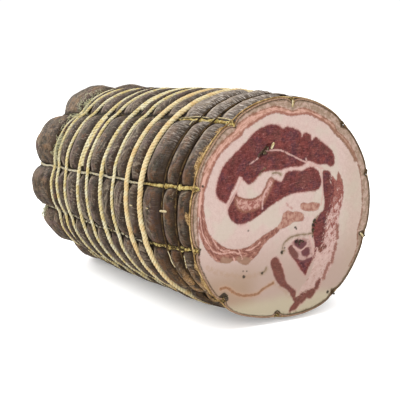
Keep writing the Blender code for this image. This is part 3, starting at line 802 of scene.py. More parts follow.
WHITE_SEAMS = [[(250, 164), (256, 160), (261, 156), (266, 152), (269.5, 150.6), (276, 150)],
               [(276, 150), (281, 150.4), (287, 153), (295, 157), (301, 160), (308, 163)],
               [(306, 158.5), (308, 163), (312, 166.5)], [(308, 163), (316, 166), (323, 168.5)],
               [(320.6, 168), (322.4, 180), (323, 192), (321, 205)],
               [(262.5, 209), (263, 199), (266.5, 190), (272, 183)],
               [(242, 178), (237, 190), (231, 203), (228, 208)],
               [(293.6, 246.4), (297.6, 249.6), (301.4, 250.6), (306.6, 246)],
               [(309.4, 236), (312, 246), (314, 254)]]
CRACKS = [[(259.5, 174.8), (263, 170.6), (266, 168)], [(273, 173.4), (277.4, 172.8), (281, 174.6)],
          [(283, 249), (283.6, 244.6), (287, 240.4), (292, 237), (299.6, 235), (306, 234.4), (311.6, 233.2)],
          [(313, 236), (312.6, 228), (315, 221.6), (317.4, 217)],
          [(261.5, 273.4), (264.6, 271.8), (266.4, 268.2)], [(282, 253.4), (284.4, 251)]]
# Dark spots: point of the picture, and radius in millimetres
SPOTS = [(262.4, 154.6, 0.9), (264.4, 152.6, 1.1), (266.4, 149.4, 1.0), (268.6, 147, 0.7),
         (260.4, 156.4, 0.5), (244, 276.7, 0.9), (243.4, 271.4, 0.4), (248.5, 231, 0.5),
         (297, 241.6, 1.1), (300.6, 240.8, 0.8), (303.6, 241.8, 0.5), (282.4, 252.4, 1.0), (285, 248, 0.4),
         (313.4, 230, 0.7), (313.6, 224.6, 1.0), (315, 220.6, 1.1), (313, 236.6, 0.5), (314.8, 226, 0.6),
         (224, 297, 2.3), (221.4, 298, 1.6), (226.6, 299, 1.4), (276.6, 313.4, 1.5), (279, 312.4, 1.0),
         (295.4, 227.4, 0.6), (296.6, 229, 0.4), (247, 271.4, 0.4), (360.6, 233.4, 1.2),
         (362.4, 231.6, 0.8), (328, 292, 1.0), (198.6, 253.6, 1.2),
         (203, 186.5, 0.6), (262.6, 273.2, 0.7)]
BELT_VEINS = [[(200.8, 220.6), (202.1, 231.5), (204.7, 238.5), (208.5, 244.2), (214.2, 251.9),
               (223.2, 253.8), (228.3, 252.8), (234.6, 252.2), (238.5, 253.8)],
              [(211.7, 237.2), (215.5, 244.2), (220, 249.3), (224.4, 251.2), (229.5, 250.6)],
              [(238.5, 249.3), (240.4, 253.8), (242.3, 258.9)],
              [(246.1, 250.6), (251.2, 249.3), (256.3, 246.1), (260.2, 242.3)],
              [(199.6, 198), (199.8, 210), (201, 222)], [(233.4, 257), (235, 262)]]
BROWN_ISLANDS = [[(223.6, 261), (229.6, 262.4)], [(240, 260.4), (248, 261.4)], [(203, 186), (203.4, 186.6)]]
# The hub that the curled belt's grain runs round, and the pit where the roll isn't closed
CURL_MIDDLE = (244, 208)
PIT = [(260.6, 156), (264.4, 152.4), (267.4, 148.4), (269, 146)]
# Radius in millimetres that the two thin streaks go over to where they are open
OUTER_OPEN_RADIUS = 72.0
INNER_OPEN_RADIUS = 70.0
# Straight parts that each step of a rounded line is cut into
CURVE_STEPS = 4
FACE_GRID = 312
FACE_THICKNESS = 0.0026
FACE_SET_BACK = 0.00005
# Relief: how deep the lean, the thin streaks, the cracks, the pit, the spots and the rim lie, and
# how high the whole face swells in cells of two sizes, given in millimetres
LEAN_DEPTH = 0.00016
STREAK_DEPTH = 0.00008
CRACK_DEPTH = 0.00040
PIT_DEPTH = 0.0021
SPOT_DEPTH = 0.00045
RIM_DEPTH = 0.00045
BROAD_FACE_SWELL = (0.00022, 9.0)
SMALL_FACE_SWELL = (0.00007, 2.1)


def from_picture(points):
    """Points of the picture, put on the face: across and up from its middle, in millimetres."""
    points = np.atleast_2d(np.asarray(points, float))
    reach = LENS_MM / SENSOR_MM * PICTURE_PIXELS
    middle = PICTURE_PIXELS / 2
    rays = ((points[:, :1] - middle) / reach * view_right
            - (points[:, 1:2] - middle) / reach * view_up - view_back)
    far = (FACE_X - view_eye[0]) / rays[:, 0]
    hit = view_eye + rays * far[:, None]
    return 1000 * (hit[:, 1:] - [0.0, CUT_AXIS_HEIGHT])


def rounded(points, closed):
    """A smooth line through points: between two of them, the cubic whose slopes are half the step
    between their neighbours."""
    if closed:
        before, here, after, beyond = (np.roll(points, k, axis=0) for k in (1, 0, -1, -2))
    else:
        padded = np.concatenate([points[:1], points, points[-1:]])
        before, here, after, beyond = padded[:-3], padded[1:-2], padded[2:-1], padded[3:]
    t = (np.arange(CURVE_STEPS) / CURVE_STEPS)[None, :, None]
    before, here, after, beyond = (p[:, None, :] for p in (before, here, after, beyond))
    line = (here + t * (after - before) / 2
            + t ** 2 * (before - 2.5 * here + 2 * after - beyond / 2)
            + t ** 3 * (1.5 * (here - after) + (beyond - before) / 2))
    line = line.reshape(-1, 2)
    return line if closed else np.concatenate([line, points[-1:]])


def line_distance(where, line, closed=False):
    """Distance from each point to a line of straight parts. Round a closed line it is positive
    inside, where a ray to the right crosses the line an odd number of times."""
    nearest = np.full(len(where), 1e9)
    inside = np.zeros(len(where), bool)
    ends = np.roll(line, -1, axis=0) if closed else line[1:]
    for (ay, az), (by, bz) in zip(line, ends):
        dy, dz = by - ay, bz - az
        t = np.clip(((where[:, 0] - ay) * dy + (where[:, 1] - az) * dz)
                    / max(dy * dy + dz * dz, 1e-9), 0, 1)
        nearest = np.minimum(nearest, (where[:, 0] - ay - t * dy) ** 2
                             + (where[:, 1] - az - t * dz) ** 2)
        if closed and dz != 0:
            crosses = (az > where[:, 1]) != (bz > where[:, 1])
            inside ^= crosses & (where[:, 0] < ay + (where[:, 1] - az) * dy / dz)
    nearest = np.sqrt(nearest)
    return np.where(inside, nearest, -nearest) if closed else nearest


def patch(where, *outlines):
    """Highest of the signed distances to several closed outlines of the picture."""
    return np.max([line_distance(where, rounded(from_picture(o), True), True) for o in outlines], axis=0)


def strokes(where, *lines):
    """Distance to the nearest of several open lines of the picture."""
    return np.min([line_distance(where, rounded(from_picture(o), False)) for o in lines], axis=0)


def rim_radius(angle):
    """Radius of the roll's outline at the cut, by angle."""
    w = np.linspace(0, 2 * len(STRINGS), 4001)
    angles = string_angle(w, 0.0)
    heights = lobe_height(0.0, w)
    _along, outward = profile_normal(np.array(0.0))
    start = math.radians(STRINGS[0][0])
    turned = (angle - start) % (2 * math.pi) + start
    return profile(0.0) + spread_out(0.0, angle) + np.interp(turned, angles, heights) * outward


def face_points():
    """Points of the face: a square grid mapped on to a disc, ring by ring, which is then stretched
    to the outline, more towards the rim. Returns unit radius, y and z in millimetres."""
    side = np.linspace(-1, 1, FACE_GRID)
    a, b = np.meshgrid(side, side, indexing="ij")
    wide = np.abs(a) > np.abs(b)
    reach = np.where(wide, a, b)
    turn = np.where(wide, math.pi / 4 * b / np.where(a == 0, 1, a),
                    math.pi / 2 - math.pi / 4 * a / np.where(b == 0, 1, b))
    y, z = reach * np.cos(turn), reach * np.sin(turn)
    unit = np.hypot(y, z)
    rim = rim_radius(np.arctan2(z, y)) - SKIN_EDGE
    stretch = 1000 * (FACE_RADIUS * (1 - unit ** 5) + rim * unit ** 5)
    return unit.ravel(), (y * stretch).ravel(), (z * stretch).ravel(), (1000 * rim).ravel()


# Closed outlines and open lines of the picture that each kind of meat takes up
BROWNED_LEAN = [TAIL_LEAN, LOW_LEAN, LOW_LEAN_MIDDLE, LOW_LEAN_END, SIDE_LEAN_END, CORE_LEFT]
OUTLINES = {"lean": [TOP_LEAN, MIDDLE_LEAN, SIDE_LEAN, CORE_LEAN, CORE_CAP, CORE_EYE] + BROWNED_LEAN,
            "rosy": [RIGHT_STREAK, PALE_OVAL_LOW, PALE_OVAL_HIGH, BELT], "pocket": [ROSY_POCKET],
            "marbled": [MARBLED], "browned": BROWNED_LEAN, "core_round": [CORE_ROUND],
            "pale": [PALE_OVAL_LOW, PALE_OVAL_HIGH]}
LINES = {"outer_islands": OUTER_ISLANDS, "stain": RED_STAINS, "low_streak": [LOW_STREAK],
         "faint": FAINT_STREAKS, "vein": BELT_VEINS, "island": BROWN_ISLANDS,
         "seam": WHITE_SEAMS, "crack": CRACKS}

unit, across, up, rim = face_points()
spot = np.stack([across, up], axis=-1)
values = {key: patch(spot, *outlines) for key, outlines in OUTLINES.items()}
values.update({key: strokes(spot, *lines) for key, lines in LINES.items()})
outer_line = rounded(from_picture(OUTER_STREAK), False)
inner_line = rounded(from_picture(INNER_STREAK), False)
from_middle = np.hypot(across, up)
turn = np.arctan2(up, across)


def outside(line, open_radius):
    """How much further from the middle each point is than a line round the face, at the same
    angle. Where the line is open its radius goes over to open_radius."""
    radius = np.hypot(*line.T)
    around = np.unwrap(np.arctan2(line[:, 1], line[:, 0]))
    order = np.argsort(around)
    turned = (turn - around.min()) % (2 * math.pi) + around.min()
    return from_middle - np.interp(turned, around[order], radius[order], right=open_radius)


dots = np.min([np.hypot(*(spot - from_picture([(column, row)])).T) - radius
               for column, row, radius in SPOTS], axis=0)
values.update(outer_streak=line_distance(spot, outer_line), inner_streak=line_distance(spot, inner_line),
              from_streak=outside(outer_line, OUTER_OPEN_RADIUS),
              salmon=outside(inner_line, INNER_OPEN_RADIUS), dots=dots, from_rim=rim - from_middle)

sink = (LEAN_DEPTH * smooth(-0.3, 0.7, values["lean"])
        + STREAK_DEPTH * smooth(-0.3, 0.5, values["rosy"])
        + CRACK_DEPTH * (1 - smooth(0.0, 0.7, values["crack"]))
        + PIT_DEPTH * (1 - smooth(0.3, 1.9, strokes(spot, PIT)))
        + SPOT_DEPTH * (1 - smooth(-0.6, 0.8, dots))
        + RIM_DEPTH * smooth(0.9, 0.0, values["from_rim"]))
swell = sum(rise * (2 * cloudy(across, up, size, size, seed) - 1)
            for (rise, size), seed in ((BROAD_FACE_SWELL, 21), (SMALL_FACE_SWELL, 22)))
x = FACE_X - FACE_SET_BACK - np.maximum(sink - swell * (1 - unit ** 6), 0.0)
front = np.stack([x, across / 1000, CUT_AXIS_HEIGHT + up / 1000], axis=-1)
index = np.arange(FACE_GRID ** 2).reshape(FACE_GRID, FACE_GRID)
loop = np.concatenate([index[0, :-1], index[:-1, -1], index[-1, :0:-1], index[:0:-1, 0]])
back = front[loop] * [0, 1, 1] + [FACE_X - FACE_THICKNESS, 0, 0]
count = len(front)
behind = count + np.arange(len(loop))
wall = np.stack([loop, np.roll(loop, -1), np.roll(behind, -1), behind], axis=-1)[:, ::-1]
faces = [grid_faces(FACE_GRID, FACE_GRID), wall, fan_faces(behind, count + len(loop))[:, ::-1]]
points = np.concatenate([front, back, [[FACE_X - FACE_THICKNESS, 0, CUT_AXIS_HEIGHT]]])
values = {key: np.concatenate([v, v[loop], v[:1]]) for key, v in values.items()}


def meat_finish():
    """Fat, lean and streaks by their distances on the face, with ragged edges. The grain of streaks
    and marbling runs round the roll: cloudy values of the radius and, drawn out, of the turn."""
    meat = Finish("cut_meat")
    even = meat.stretched(1, 1, 1)
    fine, middle = meat.noise(even, 0.6, 3, 0.65), meat.noise(even, 2.4, 3, 0.6)
    broad = meat.noise(even, 14, 2)
    ragged = (fine - 0.5) * 1.5 + (middle - 0.5) * 1.7
    height = meat.node("SeparateXYZ", None, {"Vector": even}, "Z")
    sideways = meat.node("SeparateXYZ", None, {"Vector": even}, "Y")

    def laid_round(hub):
        """Coordinates in which a pattern's lumps are drawn out round a hub on the face."""
        spoke = meat.node("CombineXYZ", None, {1: sideways - float(hub[0]),
                                               2: height - float(1000 * CUT_AXIS_HEIGHT + hub[1])})
        radius = meat.node("VectorMath", {"operation": "LENGTH"}, {0: spoke}, "Value")
        direction = meat.node("VectorMath", {"operation": "NORMALIZE"}, {0: spoke})
        slow = meat.node("VectorMath", {"operation": "SCALE"}, {0: direction, "Scale": 9.0})
        outward = meat.node("CombineXYZ", None, {0: radius * 0.9})
        return meat.node("VectorMath", {"operation": "ADD"}, {0: slow, 1: outward})

    round_roll, round_curl = laid_round((0.0, 0.0)), laid_round(from_picture([CURL_MIDDLE])[0])
    grain = meat.noise(round_roll, 1 / 0.9, 4.0, 0.62, 0.6)
    curl_grain = meat.noise(round_curl, 1 / 0.9, 4.0, 0.62, 0.8)
    flecks = meat.noise(round_roll, 1 / 1.7, 2.0, 0.5, 0.9)

    # Fat: pinkish white, yellower low down, rosy round the lean, and browned low on the left
    fat = meat.mix(tint(220, 195, 185), tint(205, 177, 167),
                   0.5 * middle.step(0.3, 0.7) + 0.5 * fine.step(0.3, 0.7))
    fat = meat.mix(fat, tint(206, 196, 178), 0.55 * broad.step(0.48, 0.66))
    fat = meat.mix(fat, tint(204, 164, 152), 0.40 * meat.noise(even, 3.4, 5, 0.7, 1.2).step(0.57, 0.72))
    fat = meat.mix(fat, tint(188, 162, 148), (60 - height).step(0, 34))
    fat = meat.mix(fat, tint(184, 164, 140),
                   0.3 * (0.5 * middle + (sideways - 30).step(0, 26)).step(0.5, 1.1))
    fat = meat.mix(fat, tint(174, 146, 124), (-14 - sideways).step(0, 16) * (40 - height).step(0, 16))
    fat = meat.mix(fat, tint(196, 184, 156), (19 - height + 5 * (broad - 0.5)).step(0, 8) * 0.85)
    fat = meat.mix(fat, tint(204, 152, 142), (meat.value("lean") + 1.5 + ragged).step(0.0, 1.6)
                   * (0.62 - 0.4 * broad.step(0.40, 0.62)))
    faint = (1.2 - meat.value("faint") + ragged * 1.2).step(-0.9, 0.9)
    colour = meat.mix(fat, tint(178, 146, 122), 0.5 * faint * middle.step(0.30, 0.6))

    # Pressed fat outside the thin streaks, the salmon band between them, and the streaks
    band = meat.value("from_streak")
    clouded = 0.3 * grain + 0.7 * meat.noise(even, 3.0, 4, 0.65, 0.6)
    band_tone = meat.mix(tint(196, 166, 150), tint(156, 132, 112), clouded.step(0.40, 0.58))
    band_tone = meat.mix(band_tone, tint(146, 110, 84),
                         0.6 * flecks.step(0.50, 0.62) * clouded.step(0.46, 0.54))
    colour = meat.mix(colour, band_tone, (band + ragged * 0.4).step(-0.5, 0.7))
    salmon = (meat.value("salmon") + ragged * 0.5).step(-0.5, 0.4) * (0.3 - band).step(-0.3, 0.3)
    salmon_tone = meat.mix(tint(218, 170, 152), tint(178, 126, 104),
                           (0.5 * grain + 0.5 * clouded).step(0.44, 0.58))
    salmon_tone = meat.mix(salmon_tone, tint(166, 130, 108),
                           0.75 * (sideways + 8 * (middle - 0.5)).step(16, 44))
    colour = meat.mix(colour, salmon_tone, 0.95 * salmon)
    streak = (0.45 - meat.value("outer_streak") + ragged * 0.60 + 2.4 * (clouded - 0.5)).step(-0.40, 0.40)
    colour = meat.mix(colour, tint(138, 94, 74), 0.85 * streak)
    streak = (0.75 - meat.value("inner_streak") + ragged * 0.8 + 3.0 * (clouded - 0.5)).step(-0.5, 0.45)
    streak_tone = meat.mix(tint(154, 98, 82), tint(140, 100, 78), sideways.step(10, 40))
    colour = meat.mix(colour, streak_tone, 0.9 * streak)
    halo = (1.8 - meat.value("low_streak") + ragged).step(-0.5, 1.0)
    colour = meat.mix(colour, tint(198, 160, 134), 0.45 * halo)
    streak = (0.75 - meat.value("low_streak") + ragged * 1.1).step(-0.45, 0.4)
    streak_tone = meat.mix(tint(128, 84, 54), tint(168, 122, 90), fine.step(0.4, 0.6))
    colour = meat.mix(colour, streak_tone, 0.9 * streak)

    # Rosy belt and ovals of pale lean, with white veins and brown islands
    rosy = (meat.value("rosy") + ragged * 0.6).step(-0.40, 0.40)
    rosy_tone = meat.mix(tint(128, 78, 66), tint(164, 112, 96), curl_grain.step(0.40, 0.58))
    rosy_tone = meat.mix(rosy_tone, tint(212, 168, 152), 0.7 * curl_grain.step(0.58, 0.66))
    rosy_tone = meat.mix(rosy_tone, tint(160, 126, 104),
                         0.8 * (2.3 - meat.value("island") + ragged).step(-0.6, 0.8))
    pale_tone = meat.mix(tint(158, 106, 92), tint(192, 148, 130), middle.step(0.38, 0.62))
    rosy_tone = meat.mix(rosy_tone, pale_tone, meat.value("pale").step(-0.3, 0.3))
    colour = meat.mix(colour, rosy_tone, rosy)
    stain = (0.7 - meat.value("stain") + ragged).step(-0.4, 0.6)
    colour = meat.mix(colour, tint(178, 122, 112), 0.6 * stain)
    vein = (0.34 - meat.value("vein") + ragged * 0.9).step(-0.35, 0.30)
    colour = meat.mix(colour, tint(218, 172, 158), 0.85 * vein)

    # Dark lean: red and purple patches, fibres, bundles, threads and specks of fat, browner tails
    lean = (meat.value("lean") + ragged * 0.80 - 1.7 * (flecks - 0.5).step(0.01, 0.11)
            * (meat.value("marbled") + 2.2).step(0, 1)).step(-0.62, 0.62)
    bundles = meat.cells(even, 1.7)
    lean_tone = meat.mix(tint(92, 36, 34), tint(118, 58, 54), middle.step(0.32, 0.68))
    lean_tone = meat.mix(lean_tone, tint(104, 62, 54), 0.6 * meat.noise(even, 9, 2).step(0.48, 0.62))
    lean_tone = meat.mix(lean_tone, tint(88, 46, 54),
                         0.85 * (1 - meat.noise(even, 8, 4, 0.6)).step(0.48, 0.58))
    lean_tone = meat.mix(lean_tone, tint(128, 62, 54), 0.7 * meat.noise(even, 6.3, 3, 0.6).step(0.53, 0.63))
    fibre_place = meat.node("Mapping", None, {"Vector": even, "Rotation": (0.75, 0, 0),
                                              "Scale": (1, 0.22, 1)})
    fibre = meat.noise(fibre_place, 0.75, 4, 0.7)
    lean_tone = meat.mix(lean_tone, tint(160, 104, 96), 0.75 * fibre.step(0.54, 0.66))
    lean_tone = meat.mix(lean_tone, tint(58, 20, 24), 0.6 * (1 - fibre).step(0.54, 0.66))
    lean_tone = meat.mix(lean_tone, tint(128, 66, 62), 0.5 * bundles.step(0.42, 0.8))
    lean_tone = meat.mix(lean_tone, tint(80, 30, 30), 0.5 * (1 - fine).step(0.52, 0.64))
    lean_tone = meat.shade(lean_tone, 0.60 + 0.52 * meat.noise(even, 0.8, 3, 0.7).step(0.30, 0.70)
                           + 0.34 * meat.noise(even, 3.6, 3, 0.6).step(0.36, 0.64))
    threads = meat.noise(even, 1.3, 5, 0.75, 2.0).step(0.60, 0.69)
    lean_tone = meat.mix(lean_tone, tint(186, 138, 128),
                         0.6 * threads * meat.noise(even, 6, 2).step(0.45, 0.6))
    specks = (1 - meat.cells(even, 1.3)).step(0.70, 0.94) * meat.noise(even, 7.5, 3, 0.6).step(0.55, 0.63)
    lean_tone = meat.mix(lean_tone, tint(190, 146, 140), 0.6 * specks)
    edge_tone = (1.6 - meat.value("lean") + ragged).step(0.0, 1.2)
    lean_tone = meat.mix(lean_tone, tint(124, 60, 54), 0.5 * edge_tone)
    lean_tone = meat.mix(lean_tone, tint(106, 66, 70), 0.6 * (meat.value("core_round") + 0.5).step(0, 1.5))
    lean_tone = meat.mix(lean_tone, meat.mix(tint(116, 74, 62), tint(140, 94, 74), fine.step(0.45, 0.6)),
                         0.5 * meat.value("browned").step(-0.5, 0.5))

    # Rosy core, marbled zone and the small islands outside it
    core_tone = meat.mix(tint(196, 158, 150), tint(168, 126, 118), middle.step(0.4, 0.6))
    colour = meat.mix(colour, core_tone, 0.8 * (meat.value("core_round") + ragged).step(-0.8, 1.0))
    marbled = meat.value("marbled")
    crowded = 0.17 * (height - 60).step(0, 26) + 0.08 * (height - 32).step(0, 26) - 0.075
    patchy = meat.noise(even, 2.6, 4, 0.6)
    blotted = (0.45 * flecks + 0.30 * fine + 0.45 * patchy + crowded).step(0.575, 0.65)
    marbled_tone = meat.mix(meat.mix(tint(204, 168, 158), tint(216, 184, 174), middle.step(0.4, 0.6)),
                            meat.mix(tint(118, 58, 54), tint(168, 104, 92), fine.step(0.42, 0.58)), blotted)
    colour = meat.mix(colour, marbled_tone, (marbled + ragged * 0.7).step(-0.5, 0.5)
                      * (0.55 + 0.45 * (height - 18).step(0, 30)))
    islands = (1.2 - meat.value("outer_islands") + ragged * 1.9).step(-0.4, 0.4)
    island_tone = meat.mix(tint(122, 74, 66), tint(164, 110, 94), fine.step(0.42, 0.6))
    colour = meat.mix(colour, island_tone, 0.9 * islands)
    colour = meat.mix(colour, lean_tone, lean)

    # Rosy pocket, white seams, dirty cracks, dark spots, and the rim
    pocket = (meat.value("pocket") + 0.8 + ragged * 0.8).step(-0.4, 0.6)
    blots = meat.noise(even, 1.7, 4, 0.65, 0.5)
    pocket_tone = meat.mix(tint(158, 98, 88), tint(212, 166, 152), blots.step(0.42, 0.58))
    pocket_tone = meat.mix(tint(142, 90, 72), pocket_tone, (meat.value("pocket") + ragged).step(-0.2, 1.1))
    colour = meat.mix(colour, pocket_tone, 0.9 * pocket)
    seam = (0.42 - meat.value("seam") + ragged * 0.45).step(-0.35, 0.25)
    colour = meat.mix(colour, tint(208, 168, 158), 0.85 * seam * middle.step(0.30, 0.46))
    crack = (0.40 - meat.value("crack") + ragged * 0.9).step(-0.35, 0.3)
    crack_tone = meat.mix(tint(72, 60, 40), tint(132, 108, 82), middle.step(0.42, 0.58))
    colour = meat.mix(colour, crack_tone, 0.8 * crack)
    dirty = (1.5 - meat.value("crack") + ragged).step(-0.5, 1.2)
    colour = meat.mix(colour, tint(152, 128, 100), 0.45 * dirty * (1 - lean))
    dots = (0.05 - meat.value("dots") + ragged * 0.6).step(-0.35, 0.35)
    dot_tone = meat.mix(tint(26, 22, 16), tint(96, 82, 50), fine.step(0.54, 0.66))
    colour = meat.mix(colour, dot_tone, 0.9 * dots)
    low_right = (62 - height).step(0, 26) * (sideways + 10).step(0, 20)
    olive = (2.6 - meat.value("from_rim") + 2.2 * ragged).step(0.0, 2.2) * low_right
    colour = meat.mix(colour, tint(146, 124, 90), 0.6 * olive)
    rim = (0.9 + 0.5 * low_right - meat.value("from_rim") + ragged * 0.7).step(-0.4, 0.7)
    colour = meat.mix(colour, tint(78, 60, 36), 0.8 * rim)
    moist = 0.40 + 0.16 * fine + 0.05 * lean
    bump_height = 0.6 * fine + 0.5 * middle - 0.25 * lean + 0.3 * grain * rosy
    return meat.apply(Base_Color=colour, Roughness=moist, Specular_IOR_Level=0.10,
                      Normal=meat.bump(bump_height, 0.00024, 0.8))


piece = make_piece("cut_face", points, faces, meat_finish(), values)
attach(piece, "root")
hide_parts("pancetta_roll")


# The net's long strings. Thin cotton, tied off at the cut and gathered by the knot at the far end.
# They lie at the bottom of the notches, under the rings, pale and dry towards the far end, and
# straw yellow with grease and small knots near the cut.
STRING_END_RADIUS = 0.0072
STRING_STEP = 0.00035
STRING_SIDES = 10
STRING_PLIES = 2
STRING_PITCH = 0.0026
STRING_WOBBLE = 0.00018
STRING_WOBBLE_CELL = 0.006
# Thickness between slubs, how much thicker they are, and their length
SLUB_BASE = 0.80
SLUB_SWELL = 0.45
SLUB_CELL = 0.0021
# Depth of the furrows between plies, and how full the plies are
PLY_DEPTH = 0.20
PLY_POWER = 0.8
# Strings that are laid double near the cut, and how much thicker they look there
LOOPED = (3, 4, 5)
LOOP_SWELL = 0.35
LOOP_END_U = (0.040, 0.050)
# How far grime and painted shade cover each string, beyond the twine and near the cut; the high values near
# the cut on the first, second, ninth and tenth strings are painted shade
STRING_GRIME_AND_SHADE = [(0.5, 0.8), (0.5, 0.8), (0.5, 0.5), (0.80, 0.40), (0.18, 0.34), (0.52, 0.50),
                (0.60, 0.60), (0.6, 0.65), (0.5, 0.8), (0.5, 0.8)]
GRIME_AND_SHADE_CHANGE_MM = (46, 56)
# Small knots where the net's threads cross them
KNOT_SWELL = 0.75
KNOT_LENGTH = 0.0011


def carried(centres, outward, radius, plies, pitch, sides, closed):
    """A twisted twine of plies: loops of points round a path. Round each loop the radius follows
    1 - PLY_DEPTH + PLY_DEPTH * |cos(plies * turn / 2)| ** PLY_POWER, which swells over the plies,
    and the turn runs on with the distance over the pitch. Returns points, faces, corner pairs of
    distance and turn in millimetres, and how deep each point lies between the plies."""
    ahead = np.roll(centres, -1, axis=0) - np.roll(centres, 1, axis=0)
    if not closed:
        ahead[0], ahead[-1] = centres[1] - centres[0], centres[-1] - centres[-2]
    ahead /= np.linalg.norm(ahead, axis=1, keepdims=True)
    outward = outward - (outward * ahead).sum(axis=1, keepdims=True) * ahead
    outward /= np.linalg.norm(outward, axis=1, keepdims=True)
    side = np.cross(ahead, outward)
    steps = np.linalg.norm(np.roll(centres, -1, axis=0) - centres, axis=1)
    gone = np.concatenate([[0], np.cumsum(steps)[:-1]])
    length = gone[-1] + (steps[-1] if closed else 0)
    if closed:
        pitch = length / max(1, round(length / pitch))
    turn = 2 * math.pi * np.arange(sides) / sides + math.pi
    twist = 2 * math.pi * gone / pitch
    lay = np.abs(np.cos(plies * (turn[None, :] - twist[:, None]) / 2)) ** PLY_POWER
    reach = (radius * np.ones(len(centres)))[:, None] * (1 - PLY_DEPTH + PLY_DEPTH * lay)
    points = (centres[:, None, :] + outward[:, None, :] * (reach * np.cos(turn))[..., None]
              + side[:, None, :] * (reach * np.sin(turn))[..., None])
    count = len(centres)
    faces = [grid_faces(count, sides, wrap_rows=closed, wrap_columns=True)]
    size = 1000 * float(np.mean(radius))
    along = 1000 * np.concatenate([gone, [length]])[:count + int(closed)]
    round_turn = size * 2 * math.pi * np.arange(sides + 1) / sides
    slope = size * 2 * math.pi / (1000 * pitch)
    pairs = np.stack(np.broadcast_arrays(along[:, None], round_turn[None, :] - slope * along[:, None]),
                     axis=-1)
    uv = [grid_pairs(pairs)]
    points = points.reshape(-1, 3)
    crease = (1 - lay).ravel()
    if not closed:
        first, last = np.arange(sides)[::-1], (count - 1) * sides + np.arange(sides)
        points = np.concatenate([points, centres[:1], centres[-1:]])
        crease = np.concatenate([crease, [0, 0]])
        faces += [fan_faces(first, count * sides), fan_faces(last, count * sides + 1)]
        uv += [np.zeros((sides, 3, 2)), np.zeros((sides, 3, 2))]
    return points, faces, uv, crease


def evenly(path, step):
    """Points of a path, as rows of numbers, set again at an even step along its first three."""
    reach = np.concatenate([[0], np.cumsum(np.linalg.norm(np.diff(path[:, :3], axis=0), axis=1))])
    places = np.linspace(0, reach[-1], max(4, round(reach[-1] / step) + 1))
    return np.stack([np.interp(places, reach, path[:, k]) for k in range(path.shape[1])], axis=1)


def cotton_finish(name, light, dark, stain, crease_shade):
    """Twisted cotton: fibres run with the plies, and the creases between the plies are darkened with painted
    shade. The colour goes from light to dark in patches, with some stain."""
    cotton = Finish(name)
    even = cotton.stretched(1, 1, 1)
    map_uv = cotton.node("UVMap", {"uv_map": "UVMap"})
    lay = cotton.node("Mapping", None, {"Vector": map_uv, "Scale": (0.35, 3.2, 1.0)})
    fibre = cotton.noise(lay, 1 / 1.6, 4.0, 0.65)
    crease = cotton.value("crease")
    patchy = cotton.noise(even, 4.5, 4, 0.65)
    colour = cotton.mix(light, dark, patchy.step(0.38, 0.62))
    colour = cotton.mix(colour, stain, 0.7 * cotton.noise(even, 1.8, 4, 0.7).step(0.57, 0.67))
    colour = cotton.shade(colour, 0.70 + 0.62 * fibre)
    loose = cotton.noise(even, 1.1, 3, 0.65)
    # Painted shade in the creases between the plies
    colour = cotton.mix(colour, crease_shade, 0.75 * (crease + 1.2 * (loose - 0.5)).step(0.40, 0.95))
    height = 0.9 * fibre - 0.6 * crease
    return cotton.apply(Base_Color=colour, Roughness=0.86, Specular_IOR_Level=0.06,
                        Normal=cotton.bump(height, 0.00022, 1.0))


def string_finish():
    """Cotton net: bare it is cream beyond the twine and straw yellow near the cut, with painted shade in the
    creases between its plies; where grime and painted shade cover it, only bits of it show."""
    net = Finish("net_cotton")
    even = net.stretched(1, 1, 1)
    from_cut, crease = net.value("from_cut"), net.value("crease")
    patchy = net.noise(even, 1.9, 4, 0.7)
    near = net.mix(tint(236, 214, 140), tint(168, 136, 72), patchy.step(0.44, 0.58))
    far = net.mix(tint(240, 230, 204), tint(206, 188, 140), patchy.step(0.44, 0.60))
    colour = net.mix(near, far, from_cut.step(44, 66))
    colour = net.mix(colour, tint(150, 164, 92), 0.5 * net.noise(even, 2.6, 3, 0.6).step(0.60, 0.68))
    # Painted shade in the creases between the plies
    colour = net.mix(colour, tint(84, 66, 38), 0.6 * crease.step(0.3, 0.95))
    # Dark cover over the string: real grime in part and painted shade in part, by its grime-and-shade value
    grime = (net.noise(even, 2.1, 3, 0.65) + net.value("cover") - 0.5).step(0.46, 0.56)
    grime_and_shade_tone = net.mix(tint(38, 28, 18), tint(92, 72, 40), patchy.step(0.5, 0.65))
    colour = net.mix(colour, grime_and_shade_tone, 0.94 * grime)
    return net.apply(Base_Color=colour, Roughness=0.85, Specular_IOR_Level=0.06,
                     Normal=net.bump(net.noise(even, 0.3, 3), 0.00018, 1.0))


